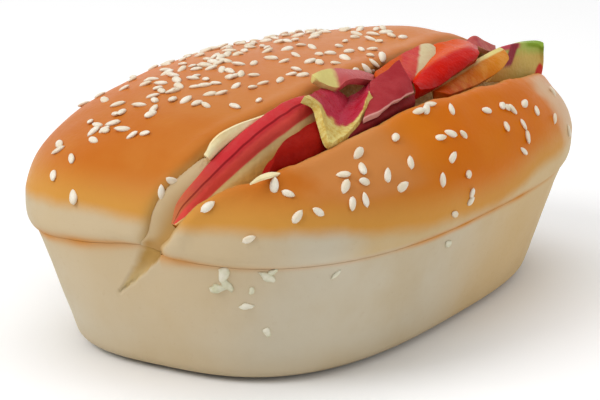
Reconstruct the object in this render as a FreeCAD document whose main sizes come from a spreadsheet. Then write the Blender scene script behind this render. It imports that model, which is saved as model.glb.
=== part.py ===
"""Clamshell telephone shaped as a filled sesame bun, closed.

X runs along the bun, -Y is its front, +Y the hinged back and +Z is up. The origin is the middle of the
non-slip ring's underside. All sizes are in millimetres.
"""
import FreeCAD
import Part
import math
import os
from FreeCAD import Placement, Rotation, Vector

SIZES = {
    # Outline of the bun
    "base_length": 124.0, "base_width": 72.8,
    "seam_length": 140.0, "seam_width": 89.2, "seam_height": 26.5,
    "belly_swell": 2.5, "belly_side_swell": 1.4, "belly_height": 34.0,
    "crown_height": 57.0,
    "plan_power": 3.0, "crown_power": 2.0, "dome_power": 2.3,
    "bottom_round": 2.4, "shell_wall": 2.4, "seam_gap": 0.3, "fit_gap": 0.25,
    # Underside
    "ring_thickness": 0.8, "ring_width": 6.0, "ring_inset": 2.5,
    "plate_thickness": 2.0, "plate_inset": 5.5, "ledge_width": 3.5, "ledge_thickness": 2.0,
    "boss_diameter": 7.0, "boss_inset": 4.0,
    "screw_diameter": 2.4, "screw_length": 8.0, "screw_head": 4.8, "screw_head_height": 1.4,
    "screw_clearance": 0.05,
    # Keypad
    "panel_recess": 1.9, "panel_thickness": 2.0,
    "key_width": 12.6, "key_depth": 9.0, "key_corner": 3.0, "key_edge": 0.7, "key_rise": 1.7,
    "key_gap": 0.3, "key_lip": 1.0, "key_lip_thickness": 1.2, "key_stem": 5.0, "key_travel": 1.2,
    "column_gap": 4.4, "row_gap": 3.6, "keypad_shift": 2.0,
    "function_width": 10.0, "function_depth": 7.0, "function_gap": 7.0,
    "board_depth": 7.6, "board_thickness": 1.6, "board_margin": 2.5, "board_wing": 24.0,
    "membrane_thickness": 1.2, "dome_diameter": 7.0, "post_diameter": 5.5,
    # Parts under the board
    "chip_length": 18.0, "chip_width": 7.0, "chip_height": 2.2, "chip_place": 14.0,
    "coil_length": 11.0, "coil_width": 9.0, "coil_height": 4.0, "coil_place": 8.0, "coil_shift": 12.0,
    "can_height": 4.5, "large_can": 5.0, "small_can": 4.0, "can_gap": 3.5, "can_place": 2.0, "can_shift": 13.0,
    # Hook
    "plunger_diameter": 5.0, "plunger_lift": 3.0, "plunger_collar": 10.0, "collar_thickness": 1.2,
    "plunger_inset": 25.5, "plunger_clearance": 0.05, "plunger_tip": 2.4, "switch_diameter": 6.0,
    "switch_height": 1.3, "spring_wire": 0.5, "spring_diameter": 8.6,
    # Sound
    "microphone_diameter": 9.0, "microphone_height": 5.0, "boot_wall": 1.3, "boot_height": 7.0,
    "ringer_diameter": 27.0, "ringer_thickness": 0.8, "holder_wall": 2.0, "holder_height": 5.0,
    "ringer_place": 26.0, "sound_hole": 2.4,
    "receiver_diameter": 32.0, "receiver_height": 8.0, "receiver_place": 12.0, "gasket_thickness": 0.8,
    "cup_wall": 1.6, "cup_height": 4.0,
    # Base fittings
    "ballast_length": 40.0, "ballast_width": 30.0, "ballast_thickness": 5.0, "ballast_place": 24.0,
    "jack_length": 15.0, "jack_width": 13.2, "jack_height": 11.0, "jack_inset": 0.65,
    "socket_width": 9.8, "socket_height": 6.8, "socket_depth": 12.0,
    "latch_width": 4.0, "latch_height": 1.8, "contact_wire": 0.5, "contact_pitch": 1.27,
    "contact_length": 7.0,
    "slider_width": 3.4, "slider_height": 3.0, "slider_travel": 4.0, "slider_reach": 4.4,
    "slider_place": 24.0, "slide_switch_length": 13.0, "slide_switch_width": 6.0,
    "slider_foot": 1.8, "slider_level": 4.6,
    # Hinge
    "hinge_standoff": 4.9, "knuckle_diameter": 6.4, "knuckle_length": 10.0, "lid_knuckle_length": 23.6,
    "knuckle_gap": 0.4, "pin_diameter": 2.5, "pin_clearance": 0.05, "knuckle_bite": 1.2,
    # Lid
    "liner_recess": 0.6, "liner_thickness": 2.0, "lid_boss_height": 8.0, "lid_boss_inset": 1.8,
    "tray_wall": 1.6, "tray_room": 0.5,
    # Slit, tear and filling
    "slit_far": 16.0, "slit_overrun": 0.3, "slit_end_room": 8.5, "slice_gap": 0.5, "slit_front_room": 2.0,
    "tear_step": 8.5, "tear_top_width": 8.0, "tear_seam_width": 4.2, "tear_place": 4.3,
    "tear_drop": 8.5, "tear_drift": 9.6, "tear_depth": 1.4,
    "flake_thickness": 1.8, "apple_thickness": 3.4, "pepper_thickness": 4.4, "carrot_thickness": 3.9,
    "ham_thickness": 1.7, "leaf_thickness": 2.2, "cucumber_thickness": 2.4, "cucumber_place": 25.4,
    # Sesame seeds
    "seed_length": 3.5, "seed_width": 2.0, "seed_thickness": 1.1, "seed_count": 70.0,
}

# Heights and places that follow from the sizes
LEVELS = {
    "belly_length": "dims.seam_length + dims.belly_swell * 2",
    "belly_width": "dims.seam_width + dims.belly_side_swell * 2",
    "shell_bottom": "dims.ring_thickness",
    "wall_slope": "(dims.seam_length - dims.base_length) / 2 / (dims.seam_height - shell_bottom)",
    "plate_top": "shell_bottom + dims.plate_thickness",
    "ledge_top": "plate_top + dims.ledge_thickness",
    "panel_top": "dims.seam_height - dims.panel_recess",
    "panel_bottom": "panel_top - dims.panel_thickness",
    "board_top": "panel_bottom - dims.board_depth",
    "board_bottom": "board_top - dims.board_thickness",
    "membrane_top": "board_top + dims.membrane_thickness",
    "lip_top": "panel_bottom - dims.screw_clearance * 4",
    "lip_bottom": "lip_top - dims.key_lip_thickness",
    "key_top": "panel_top + dims.key_rise",
    "stem_bottom": "lip_bottom - dims.key_travel * 2",
    "rim": "dims.seam_height + dims.seam_gap",
    "liner_bottom": "rim + dims.liner_recess",
    "liner_top": "liner_bottom + dims.liner_thickness",
    "gasket_top": "liner_top + dims.gasket_thickness",
    "receiver_top": "gasket_top + dims.receiver_height",
    "tray_bottom": "receiver_top + dims.tray_room",
    "tray_floor": "tray_bottom + dims.tray_wall",
    "deep_bottom": "liner_top + dims.fit_gap",
    "deep_floor": "deep_bottom + dims.tray_wall",
    "ledge_half_length": "dims.base_length / 2 + wall_slope * (ledge_top - shell_bottom)",
    "jack_face": "ledge_half_length - dims.jack_inset",
    "hinge_y": "dims.seam_width / 2 + dims.hinge_standoff",
    "hinge_z": "dims.seam_height + dims.seam_gap / 2",
    "plate_half_length": "dims.base_length / 2 - dims.plate_inset",
    "plate_half_width": "dims.base_width / 2 - dims.plate_inset",
    "diagonal": "0.5 ^ (1 / dims.plan_power)",
    "boss_x": "plate_half_length * diagonal - dims.boss_inset",
    "boss_y": "plate_half_width * diagonal - dims.boss_inset",
    "lid_boss_x": "(dims.seam_length / 2 - dims.shell_wall) * diagonal - dims.lid_boss_inset",
    "lid_boss_y": "(dims.seam_width / 2 - dims.shell_wall) * diagonal - dims.lid_boss_inset",
    "screw_hole": "dims.screw_diameter / 2 + dims.screw_clearance",
    "column_pitch": "dims.key_width + dims.column_gap",
    "row_pitch": "dims.key_depth + dims.row_gap",
    "keypad_half_width": "column_pitch + dims.key_width / 2 + dims.key_lip",
    "keypad_half_depth": "1.5 * row_pitch + dims.key_depth / 2 + dims.key_lip",
    "function_x": "keypad_half_width + dims.column_gap * 2 + dims.function_width / 2",
    "function_pitch": "dims.function_depth + dims.function_gap",
    "post_x": "keypad_half_width + dims.column_gap",
    "post_y": "keypad_half_depth - dims.post_diameter / 2",
    "board_half_width": "post_x + dims.post_diameter / 2 + dims.board_margin",
    "board_half_depth": "keypad_half_depth + dims.board_margin",
    "board_right": "function_x + dims.function_width / 2 + dims.board_margin",
    "plunger_x": "belly_length / 2 - dims.plunger_inset",
    "plunger_top": "liner_bottom - dims.plunger_clearance * 2",
    "collar_top": "panel_bottom - dims.plunger_lift - dims.plunger_clearance * 2",
    "microphone_y": "dims.keypad_shift - keypad_half_depth - dims.boot_wall * 2 - dims.microphone_diameter / 2",
    "slide_seat_y": "dims.base_width / 2 - dims.shell_wall - dims.fit_gap * 2",
    "slide_switch_height": "board_bottom - dims.screw_head_height - dims.fit_gap - ledge_top",
    "layer_flake": "dims.slit_far + dims.slice_gap",
    "layer_apple": "dims.slit_far + dims.flake_thickness + dims.slice_gap * 2",
    "layer_pepper": "layer_apple + dims.apple_thickness + dims.slice_gap",
    "layer_carrot": "layer_pepper + dims.pepper_thickness + dims.slice_gap",
    "slit_near": "layer_carrot + dims.carrot_thickness + dims.slit_front_room",
    "tip": "belly_length / 2",
    "slit_end": "tip - dims.slit_end_room",
}

# Slices of the filling. Start, end, crest and reach are shares of the bun's half length, the top is a share of
# the dome's rise, and reach and height are the half axes of the ellipse that is the slice's top edge.
SLICES = {
    "cheese_flake": {"layer": "layer_flake", "thickness": "flake_thickness", "start": -0.869, "end": -0.634,
                     "crest": -0.69, "reach": 0.276, "top": 0.804, "height": 22.5},
    "apple_slice": {"layer": "layer_apple", "thickness": "apple_thickness", "start": -0.979, "end": -0.414,
                    "crest": -0.497, "reach": 0.497, "top": 0.9, "height": 24.7, "deep": True},
    "rear_leaf": {"layer": "layer_apple", "thickness": "leaf_thickness", "start": -0.083, "end": 0.193,
                  "crest": 0.028, "reach": 0.221, "top": 1.1, "height": 14.0},
    "ham_slice": {"layer": "layer_pepper", "thickness": "ham_thickness", "start": -0.786, "end": -0.593,
                  "crest": -0.497, "reach": 0.414, "top": 0.652, "height": 15.0},
    "leaf_fold": {"layer": "layer_pepper", "thickness": "leaf_thickness", "start": -0.566, "end": -0.372,
                  "crest": -0.497, "reach": 0.276, "top": 1.13, "height": 16.0},
    "pepper_slice": {"layer": "layer_pepper", "thickness": "pepper_thickness", "start": 0.007, "end": 0.483,
                     "crest": 0.22, "reach": 0.386, "top": 1.03, "height": 16.0},
    "ham_fold": {"layer": "layer_carrot", "thickness": "ham_thickness", "start": -0.483, "end": -0.11,
                 "crest": -0.221, "reach": 0.359, "top": 1.087, "height": 16.0},
    "carrot_bar": {"layer": "layer_carrot", "thickness": "carrot_thickness", "start": 0.007, "end": 0.552,
                   "crest": 0.414, "reach": 0.828, "top": 0.848, "height": 14.0},
}

# Corners of the cucumber slice, as shares of the bun's half length and of the dome's rise; None is the tray
CUCUMBER_OUTLINE = ((0.565, None), (0.745, None), (0.779, 0.522), (0.862, 0.587), (0.876, 0.69),
                    (0.80, 0.795), (0.69, 0.815), (0.60, 0.80), (0.565, 0.72))

doc = FreeCAD.newDocument("bun_telephone")
pieces = []


def fill_sheet(name, cells):
    """Write one named row for each value, with the name as its alias."""
    sheet = doc.addObject("Spreadsheet::Sheet", name)
    for row, (alias, content) in enumerate(cells.items(), start=1):
        sheet.set(f"A{row}", alias.replace("_", " "))
        sheet.set(f"B{row}", content)
        sheet.setAlias(f"B{row}", alias)
    doc.recompute()
    return sheet


dims = fill_sheet("dims", {alias: str(number) for alias, number in SIZES.items()})
levels = fill_sheet("levels", {alias: "=" + formula for alias, formula in LEVELS.items()})


def dim(alias):
    return float(dims.get(alias))


def level(alias):
    return float(levels.get(alias))


def bind(feature, **expressions):
    """Tie properties to the sheets; x, y and z stand for the placement."""
    for name, expression in expressions.items():
        target = f".Placement.Base.{name}" if name in ("x", "y", "z") else name
        feature.setExpression(target, expression)
    return feature


def add(kind, name, **expressions):
    return bind(doc.addObject(kind, name), **expressions)


def box(name, length, width, height, x="0", y="0", z="0"):
    """A box centred on x and y, standing on z."""
    return add("Part::Box", name, Length=length, Width=width, Height=height,
               x=f"{x} - ({length}) / 2", y=f"{y} - ({width}) / 2", z=z)


def cylinder(name, radius, height, x="0", y="0", z="0"):
    return add("Part::Cylinder", name, Radius=radius, Height=height, x=x, y=y, z=z)


def lying_cylinder(name, radius, length, x, y, z):
    """A cylinder along X, starting at x."""
    rod = doc.addObject("Part::Cylinder", name)
    rod.Placement = Placement(Vector(), Rotation(Vector(0, 1, 0), 90))
    return bind(rod, Radius=radius, Height=length, x=x, y=y, z=z)


def cone(name, bottom, top, height, x, y, z):
    return add("Part::Cone", name, Radius1=bottom, Radius2=top, Height=height, x=x, y=y, z=z)


def cut(name, base, *tools):
    """Take each tool from the base, as one compound of tools."""
    feature = doc.addObject("Part::Cut", name)
    feature.Base = base
    feature.Tool = tools[0] if len(tools) == 1 else group(f"{name}_tools", tools)
    return feature


def fuse(name, *shapes):
    feature = doc.addObject("Part::MultiFuse", name)
    feature.Shapes = list(shapes)
    return feature


def common(name, base, tool):
    feature = doc.addObject("Part::Common", name)
    feature.Base = base
    feature.Tool = tool
    return feature


def group(name, shapes):
    feature = doc.addObject("Part::Compound", name)
    feature.Links = list(shapes)
    return feature


def piece(label, feature):
    """Name a finished sub-part; its label names its file."""
    feature.Label = label
    pieces.append(feature)
    return feature


def signs():
    return [(side, end) for side in (1, -1) for end in (1, -1)]


def plan_point(half_length, half_width, power, share):
    """A point of the plan outline, at a share of the turn round it."""
    turn = 2 * math.pi * share
    angle = math.atan2(half_width * math.sin(turn), half_length * math.cos(turn))
    reach = (abs(math.cos(angle)) / half_length) ** power + (abs(math.sin(angle)) / half_width) ** power
    return Vector(math.cos(angle), math.sin(angle), 0) * reach ** (-1 / power)


def quarter_curve(half_length, half_width, power, quarter, height=0.0):
    """One smooth quarter of the plan outline; quarters 2 and 3 are its front."""
    steps = 8
    curve = Part.BSplineCurve()
    curve.interpolate([plan_point(half_length, half_width, power, (quarter + i / steps) / 4)
                       + Vector(0, 0, height) for i in range(steps + 1)])
    return curve.toShape()


def plan_section(name, half_length, half_width, power, height=0.0):
    """A closed rounded-oval outline at one height."""
    feature = doc.addObject("Part::Feature", name)
    feature.Shape = Part.Wire([quarter_curve(half_length, half_width, power, quarter, height)
                               for quarter in range(4)])
    return feature


def extrusion(name, outline, direction, length):
    feature = doc.addObject("Part::Extrusion", name)
    feature.Base = outline
    feature.DirMode = "Custom"
    feature.Dir = direction
    feature.Solid = True
    return bind(feature, LengthFwd=length)


def prism(name, half_length, half_width, bottom, height):
    """An upright slab with the bun's plan outline."""
    outline = plan_section(f"{name}_outline", half_length, half_width, dim("plan_power"))
    bind(outline, z=bottom)
    return extrusion(name, outline, Vector(0, 0, 1), height)


def polygon_prism(name, points, direction, length):
    outline = doc.addObject("Part::Feature", f"{name}_outline")
    outline.Shape = Part.makePolygon(points + points[:1])
    return extrusion(name, outline, direction, length)


def loft(name, sections, ruled):
    feature = doc.addObject("Part::Loft", name)
    feature.Sections = sections
    feature.Solid = True
    feature.Ruled = ruled
    return feature


def tub_half(height, end, seam):
    """Half size of the tapered tub at a height, between its bottom and the seam."""
    low = level("shell_bottom")
    share = (height - low) / (dim("seam_height") - low)
    return (dim(end) + (dim(seam) - dim(end)) * share) / 2


def tub_section(name, height, inset):
    half_length = tub_half(height, "base_length", "seam_length") - inset
    half_width = tub_half(height, "base_width", "seam_width") - inset
    return plan_section(name, half_length, half_width, dim("plan_power"), height)


def tub_loft(name, bottom, inset):
    sections = [tub_section(f"{name}_{i}", height, inset)
                for i, height in enumerate((bottom, dim("seam_height")))]
    return loft(name, sections, True)


def crown_loft(name, inset):
    """The crown's outline from rim over belly to the dome's top, set in by a wall."""
    rim, belly, top = level("rim"), dim("belly_height"), dim("crown_height") - inset
    sections = []
    for i, height in enumerate((rim, (rim + belly) / 2, belly)):
        drop = ((belly - height) / (belly - dim("seam_height"))) ** 2
        half_length = level("belly_length") / 2 - (level("belly_length") - dim("seam_length")) / 2 * drop
        half_width = level("belly_width") / 2 - (level("belly_width") - dim("seam_width")) / 2 * drop
        sections.append(plan_section(f"{name}_side_{i}", half_length - inset, half_width - inset,
                                     dim("plan_power"), height))
    dome_sections, last_angle = 8, math.radians(84)
    for i in range(1, dome_sections + 1):
        angle = last_angle * i / dome_sections
        rise = math.sin(angle) ** (2 / dim("dome_power"))
        shrink = math.cos(angle) ** (2 / dim("dome_power"))
        power = dim("plan_power") + (dim("crown_power") - dim("plan_power")) * rise
        sections.append(plan_section(f"{name}_dome_{i}", (level("belly_length") / 2 - inset) * shrink,
                                     (level("belly_width") / 2 - inset) * shrink, power,
                                     belly + (top - belly) * rise))
    return loft(name, sections, False)


def countersunk_screws(name, bottom, places):
    """Flat-head screws driven upwards, their heads flush with the plate's underside."""
    screws = []
    for i, (x, y) in enumerate(places):
        head = cone(f"{name}_head_{i}", "dims.screw_head / 2", "dims.screw_diameter / 2",
                    "dims.screw_head_height", x, y, bottom)
        shank = cylinder(f"{name}_shank_{i}", "dims.screw_diameter / 2", "dims.screw_length", x, y, bottom)
        screws.append(fuse(f"{name}_{i}", head, shank))
    return piece(name, group(f"{name}_group", screws))


def screw_seats(name, bottom, thickness, places):
    """Clearance hole and countersink in a plate for each flat-head screw."""
    tools = []
    for i, (x, y) in enumerate(places):
        tools.append(cylinder(f"{name}_hole_{i}", "levels.screw_hole", thickness, x, y, bottom))
        tools.append(cone(f"{name}_sink_{i}", "dims.screw_head / 2 + dims.screw_clearance",
                          "levels.screw_hole", "dims.screw_head_height", x, y, bottom))
    return tools


def corners(x, y):
    return [(f"{side} * {x}", f"{end} * {y}") for side, end in signs()]


def rounded_box(name, length, width, height, corner, x, y, z):
    """A box with rounded upright edges."""
    block = box(f"{name}_block", length, width, height, x, y, z)
    block.recompute()
    feature = doc.addObject("Part::Fillet", name)
    feature.Base = block
    upright = [i for i, edge in enumerate(block.Shape.Edges, start=1)
               if edge.BoundBox.ZLength > 1e-6]
    feature.Edges = [(i, corner, corner) for i in upright]
    return feature


# Keys in reading order, seen from the front with the hinge behind
DIAL_KEYS = [f"key_{digit}" for digit in range(1, 10)] + ["key_star", "key_0", "key_hash"]
FUNCTION_KEYS = ["key_redial", "key_flash"]


def key_places():
    """Name, place and width and depth of each key."""
    places = []
    for i, name in enumerate(DIAL_KEYS):
        row, column = divmod(i, 3)
        places.append((name, f"({column - 1}) * levels.column_pitch",
                       f"dims.keypad_shift + {1.5 - row} * levels.row_pitch",
                       "dims.key_width", "dims.key_depth"))
    for i, name in enumerate(FUNCTION_KEYS):
        places.append((name, "levels.function_x", f"dims.keypad_shift + {0.5 - i} * levels.function_pitch",
                       "dims.function_width", "dims.function_depth"))
    return places


BASE_BOSSES = corners("levels.boss_x", "levels.boss_y")
LID_BOSSES = corners("levels.lid_boss_x", "levels.lid_boss_y")
BOARD_POSTS = [(f"{side} * levels.post_x", f"dims.keypad_shift + {end} * levels.post_y")
               for side, end in signs()]
SLIDER_SIDES = {"ringer": -1, "tone": 1}


def knuckle(name, start, length):
    return lying_cylinder(name, "dims.knuckle_diameter / 2", length, start, "levels.hinge_y", "levels.hinge_z")


def hinge_arm(name, start, length, direction):
    """Gusset from the barrel to the wall: -1 goes down to the tub, 1 up to the crown."""
    y, z, radius = level("hinge_y"), level("hinge_z"), dim("knuckle_diameter") / 2
    wall = dim("seam_width") / 2 - dim("knuckle_bite")
    reach = dim("knuckle_diameter")
    slope = (dim("seam_width") - dim("base_width")) / 2 / (dim("seam_height") - dim("ring_thickness"))
    lean = slope if direction < 0 else 0
    points = [Vector(0, y, z + direction * radius), Vector(0, y - radius, z),
              Vector(0, wall, z + direction * dim("shell_wall") / 2),
              Vector(0, wall - lean * reach, z + direction * reach)]
    arm = polygon_prism(name, points, Vector(1, 0, 0), length)
    return bind(arm, x=start)


def tear_groove():
    """Crack in the tub's rim below the slit, drifting back as it runs down and closing to a point."""
    top, seam = dim("seam_height"), -dim("tear_place")
    half = dim("tear_seam_width") / 2
    points = [Vector(0, seam - half, top + dim("seam_gap")), Vector(0, seam + half, top + dim("seam_gap")),
              Vector(0, seam + dim("tear_drift"), top - dim("tear_drop"))]
    wedge = bind(polygon_prism("tear_wedge", points, Vector(1, 0, 0), "dims.seam_length / 2"),
                 x="-dims.seam_length")
    wedge_end = bind(polygon_prism("tear_reach", points, Vector(1, 0, 0), "dims.seam_length / 2"),
                     x="-dims.seam_length / 2")
    kept = tub_loft("tear_floor", level("shell_bottom"), dim("tear_depth"))
    return cut("tear_groove", fuse("tear_cutter", wedge, wedge_end), kept)


def lower_shell():
    """Tapered tub with ledge, bosses, hinge knuckles, jack window and switch windows."""
    outside = tub_loft("tub_outside", level("shell_bottom"), 0.0)
    outside.recompute()
    rounded = doc.addObject("Part::Fillet", "tub_rounded")
    rounded.Base = outside
    bottom_edges = [i for i, edge in enumerate(outside.Shape.Edges, start=1)
                    if edge.BoundBox.ZMax < level("shell_bottom") + 1e-6]
    rounded.Edges = [(i, dim("bottom_round"), dim("bottom_round")) for i in bottom_edges]
    hollow = tub_loft("tub_hollow", level("ledge_top"), dim("shell_wall"))
    plate_seat = prism("plate_seat", level("plate_half_length"), level("plate_half_width"),
                       "levels.shell_bottom", "dims.plate_thickness")
    ledge_hole = prism("ledge_hole", level("plate_half_length") - dim("ledge_width"),
                       level("plate_half_width") - dim("ledge_width"),
                       "levels.plate_top", "dims.ledge_thickness")
    walls = cut("tub_walls", rounded, hollow, plate_seat, ledge_hole)
    bosses = [cylinder(f"base_boss_{i}", "dims.boss_diameter / 2", "levels.panel_bottom - levels.plate_top",
                       x, y, "levels.plate_top") for i, (x, y) in enumerate(BASE_BOSSES)]
    bores = [cylinder(f"base_bore_{i}", "levels.screw_hole", "levels.panel_bottom - levels.plate_top",
                      x, y, "levels.plate_top") for i, (x, y) in enumerate(BASE_BOSSES)]
    starts = ("dims.lid_knuckle_length / 2 + dims.knuckle_gap",
              "-(dims.lid_knuckle_length / 2 + dims.knuckle_gap + dims.knuckle_length)")
    knuckles = []
    for i, start in enumerate(starts):
        knuckles.append(knuckle(f"base_knuckle_{i}", start, "dims.knuckle_length"))
        knuckles.append(hinge_arm(f"base_arm_{i}", start, "dims.knuckle_length", -1))
    pin_bore = lying_cylinder("base_pin_bore", "dims.pin_diameter / 2 + dims.pin_clearance",
                              "dims.seam_width", "-dims.seam_width / 2", "levels.hinge_y", "levels.hinge_z")
    jack_window = box("jack_window", "dims.jack_length * 2", "dims.jack_width + dims.fit_gap * 2",
                      "dims.jack_height + dims.fit_gap", "levels.jack_face", "0", "levels.ledge_top")
    windows = [box(f"slider_window_{name}", "dims.slider_width + dims.slider_travel + dims.fit_gap * 2",
                   "dims.base_width / 2", "dims.slider_height + dims.fit_gap * 2",
                   f"{side} * dims.slider_place", "levels.slide_seat_y + dims.base_width / 4",
                   "levels.ledge_top + dims.slider_level - dims.slider_height / 2 - dims.fit_gap")
               for name, side in SLIDER_SIDES.items()]
    solid = fuse("tub_solid", walls, *bosses, *knuckles)
    return piece("lower_shell", cut("lower_shell_cut", solid, *bores, pin_bore, jack_window, *windows,
                                    tear_groove()))


def underside():
    """Base plate with sound holes, its screws and the ring that the telephone stands on."""
    plate = prism("plate_slab", level("plate_half_length") - dim("fit_gap"),
                  level("plate_half_width") - dim("fit_gap"), "levels.shell_bottom", "dims.plate_thickness")
    holes = []
    hole_count = 6
    for i in range(hole_count):
        turn = 2 * math.pi * i / hole_count
        holes.append(cylinder(f"sound_hole_{i}", "dims.sound_hole / 2", "dims.plate_thickness",
                              f"dims.ringer_place + dims.ringer_diameter / 4 * {math.cos(turn)}",
                              f"dims.ringer_diameter / 4 * {math.sin(turn)}", "levels.shell_bottom"))
    seats = screw_seats("plate_seat_screw", "levels.shell_bottom", "dims.plate_thickness", BASE_BOSSES)
    piece("base_plate", cut("base_plate_cut", plate, *holes, *seats))
    countersunk_screws("base_screws", "levels.shell_bottom", BASE_BOSSES)
    outer = prism("ring_outer", level("plate_half_length") - dim("ring_inset"),
                  level("plate_half_width") - dim("ring_inset"), "0", "dims.ring_thickness")
    inner = prism("ring_inner", level("plate_half_length") - dim("ring_inset") - dim("ring_width"),
                  level("plate_half_width") - dim("ring_inset") - dim("ring_width"),
                  "0", "dims.ring_thickness")
    clear = [cylinder(f"ring_notch_{i}", "dims.screw_head / 2 + dims.fit_gap", "dims.ring_thickness", x, y)
             for i, (x, y) in enumerate(BASE_BOSSES)]
    piece("non_slip_ring", cut("non_slip_ring_cut", outer, inner, *clear))


def keypad_panel():
    """Panel inside the rim, with key openings, plunger bore, microphone holes and board posts."""
    half_length = tub_half(level("panel_bottom"), "base_length", "seam_length")
    half_width = tub_half(level("panel_bottom"), "base_width", "seam_width")
    inset = dim("shell_wall") + dim("fit_gap")
    slab = prism("panel_slab", half_length - inset, half_width - inset, "levels.panel_bottom",
                 "dims.panel_thickness")
    openings = [rounded_box(f"{name}_opening", f"{width} + dims.key_gap * 2", f"{depth} + dims.key_gap * 2",
                            "dims.panel_thickness", dim("key_corner") + dim("key_gap"), x, y,
                            "levels.panel_bottom") for name, x, y, width, depth in key_places()]
    bore = cylinder("plunger_bore", "dims.plunger_diameter / 2 + dims.plunger_clearance",
                    "dims.panel_thickness", "-levels.plunger_x", "0", "levels.panel_bottom")
    speak = [cylinder(f"speak_hole_{i}", "dims.sound_hole / 3", "dims.panel_thickness",
                      f"{i - 1} * dims.sound_hole", "levels.microphone_y", "levels.panel_bottom")
             for i in range(3)]
    holes = [cylinder(f"panel_hole_{i}", "levels.screw_hole", "dims.panel_thickness", x, y,
                      "levels.panel_bottom") for i, (x, y) in enumerate(BASE_BOSSES)]
    posts = [cylinder(f"board_post_{i}", "dims.post_diameter / 2", "dims.board_depth", x, y,
                      "levels.board_top") for i, (x, y) in enumerate(BOARD_POSTS)]
    post_bores = [cylinder(f"post_bore_{i}", "levels.screw_hole", "dims.board_depth - dims.fit_gap", x, y,
                           "levels.board_top") for i, (x, y) in enumerate(BOARD_POSTS)]
    plate = cut("panel_plate", slab, *openings, bore, *speak, *holes)
    piece("keypad_panel", cut("keypad_panel_cut", fuse("panel_and_posts", plate, *posts), *post_bores))
    screws = []
    for i, (x, y) in enumerate(BASE_BOSSES):
        head = cylinder(f"panel_head_{i}", "dims.screw_head / 2", "dims.screw_head_height", x, y,
                        "levels.panel_top")
        shank = cylinder(f"panel_shank_{i}", "dims.screw_diameter / 2", "dims.screw_length", x, y,
                         "levels.panel_top - dims.screw_length")
        screws.append(fuse(f"panel_screw_{i}", head, shank))
    piece("panel_screws", group("panel_screw_group", screws))


def circuit():
    """Board under the keypad with its screws, parts and the rubber membrane of the keys."""
    middle = box("board_middle", "levels.board_half_width * 2", "levels.board_half_depth * 2",
                 "dims.board_thickness", "0", "dims.keypad_shift", "levels.board_bottom")
    wing = box("board_wing", "levels.plunger_x + levels.board_right + dims.plunger_collar",
               "dims.board_wing", "dims.board_thickness",
               "(levels.board_right - levels.plunger_x - dims.plunger_collar) / 2", "dims.keypad_shift",
               "levels.board_bottom")
    holes = [cylinder(f"board_hole_{i}", "levels.screw_hole", "dims.board_thickness", x, y,
                      "levels.board_bottom") for i, (x, y) in enumerate(BOARD_POSTS)]
    piece("main_board", cut("main_board_cut", fuse("board_outline", middle, wing), *holes))
    screws = []
    for i, (x, y) in enumerate(BOARD_POSTS):
        head = cylinder(f"board_head_{i}", "dims.screw_head / 2", "dims.screw_head_height", x, y,
                        "levels.board_bottom - dims.screw_head_height")
        shank = cylinder(f"board_shank_{i}", "dims.screw_diameter / 2",
                         "dims.board_thickness + dims.board_depth / 2", x, y, "levels.board_bottom")
        screws.append(fuse(f"board_screw_{i}", head, shank))
    piece("board_screws", group("board_screw_group", screws))
    can_bottom = "levels.board_bottom - dims.can_height"
    small_x = "dims.large_can / 2 + dims.can_gap + dims.small_can / 2 - dims.can_place"
    parts = [box("dial_chip", "dims.chip_length", "dims.chip_width", "dims.chip_height",
                 "-dims.chip_place", "0", "levels.board_bottom - dims.chip_height"),
             box("line_coil", "dims.coil_length", "dims.coil_width", "dims.coil_height", "dims.coil_place",
                 "dims.coil_shift", "levels.board_bottom - dims.coil_height"),
             cylinder("first_can", "dims.large_can / 2", "dims.can_height", "-dims.can_place",
                      "-dims.can_shift", can_bottom),
             cylinder("second_can", "dims.small_can / 2", "dims.can_height", small_x, "-dims.can_shift",
                      can_bottom)]
    piece("board_components", group("board_component_group", parts))
    mat = box("mat_keys", "levels.keypad_half_width * 2", "levels.keypad_half_depth * 2",
              "dims.membrane_thickness", "0", "dims.keypad_shift", "levels.board_top")
    tongue = box("mat_tongue", "levels.board_right",
                 "levels.function_pitch + dims.function_depth + 2 * dims.key_lip", "dims.membrane_thickness",
                 "levels.board_right / 2", "dims.keypad_shift", "levels.board_top")
    domes = [cone(f"{name}_dome", "dims.dome_diameter / 2", "dims.key_stem / 2",
                  "levels.stem_bottom - levels.membrane_top - dims.screw_clearance", x, y,
                  "levels.membrane_top") for name, x, y, width, depth in key_places()]
    piece("key_membrane", fuse("key_membrane_fuse", mat, tongue, *domes))


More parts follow.
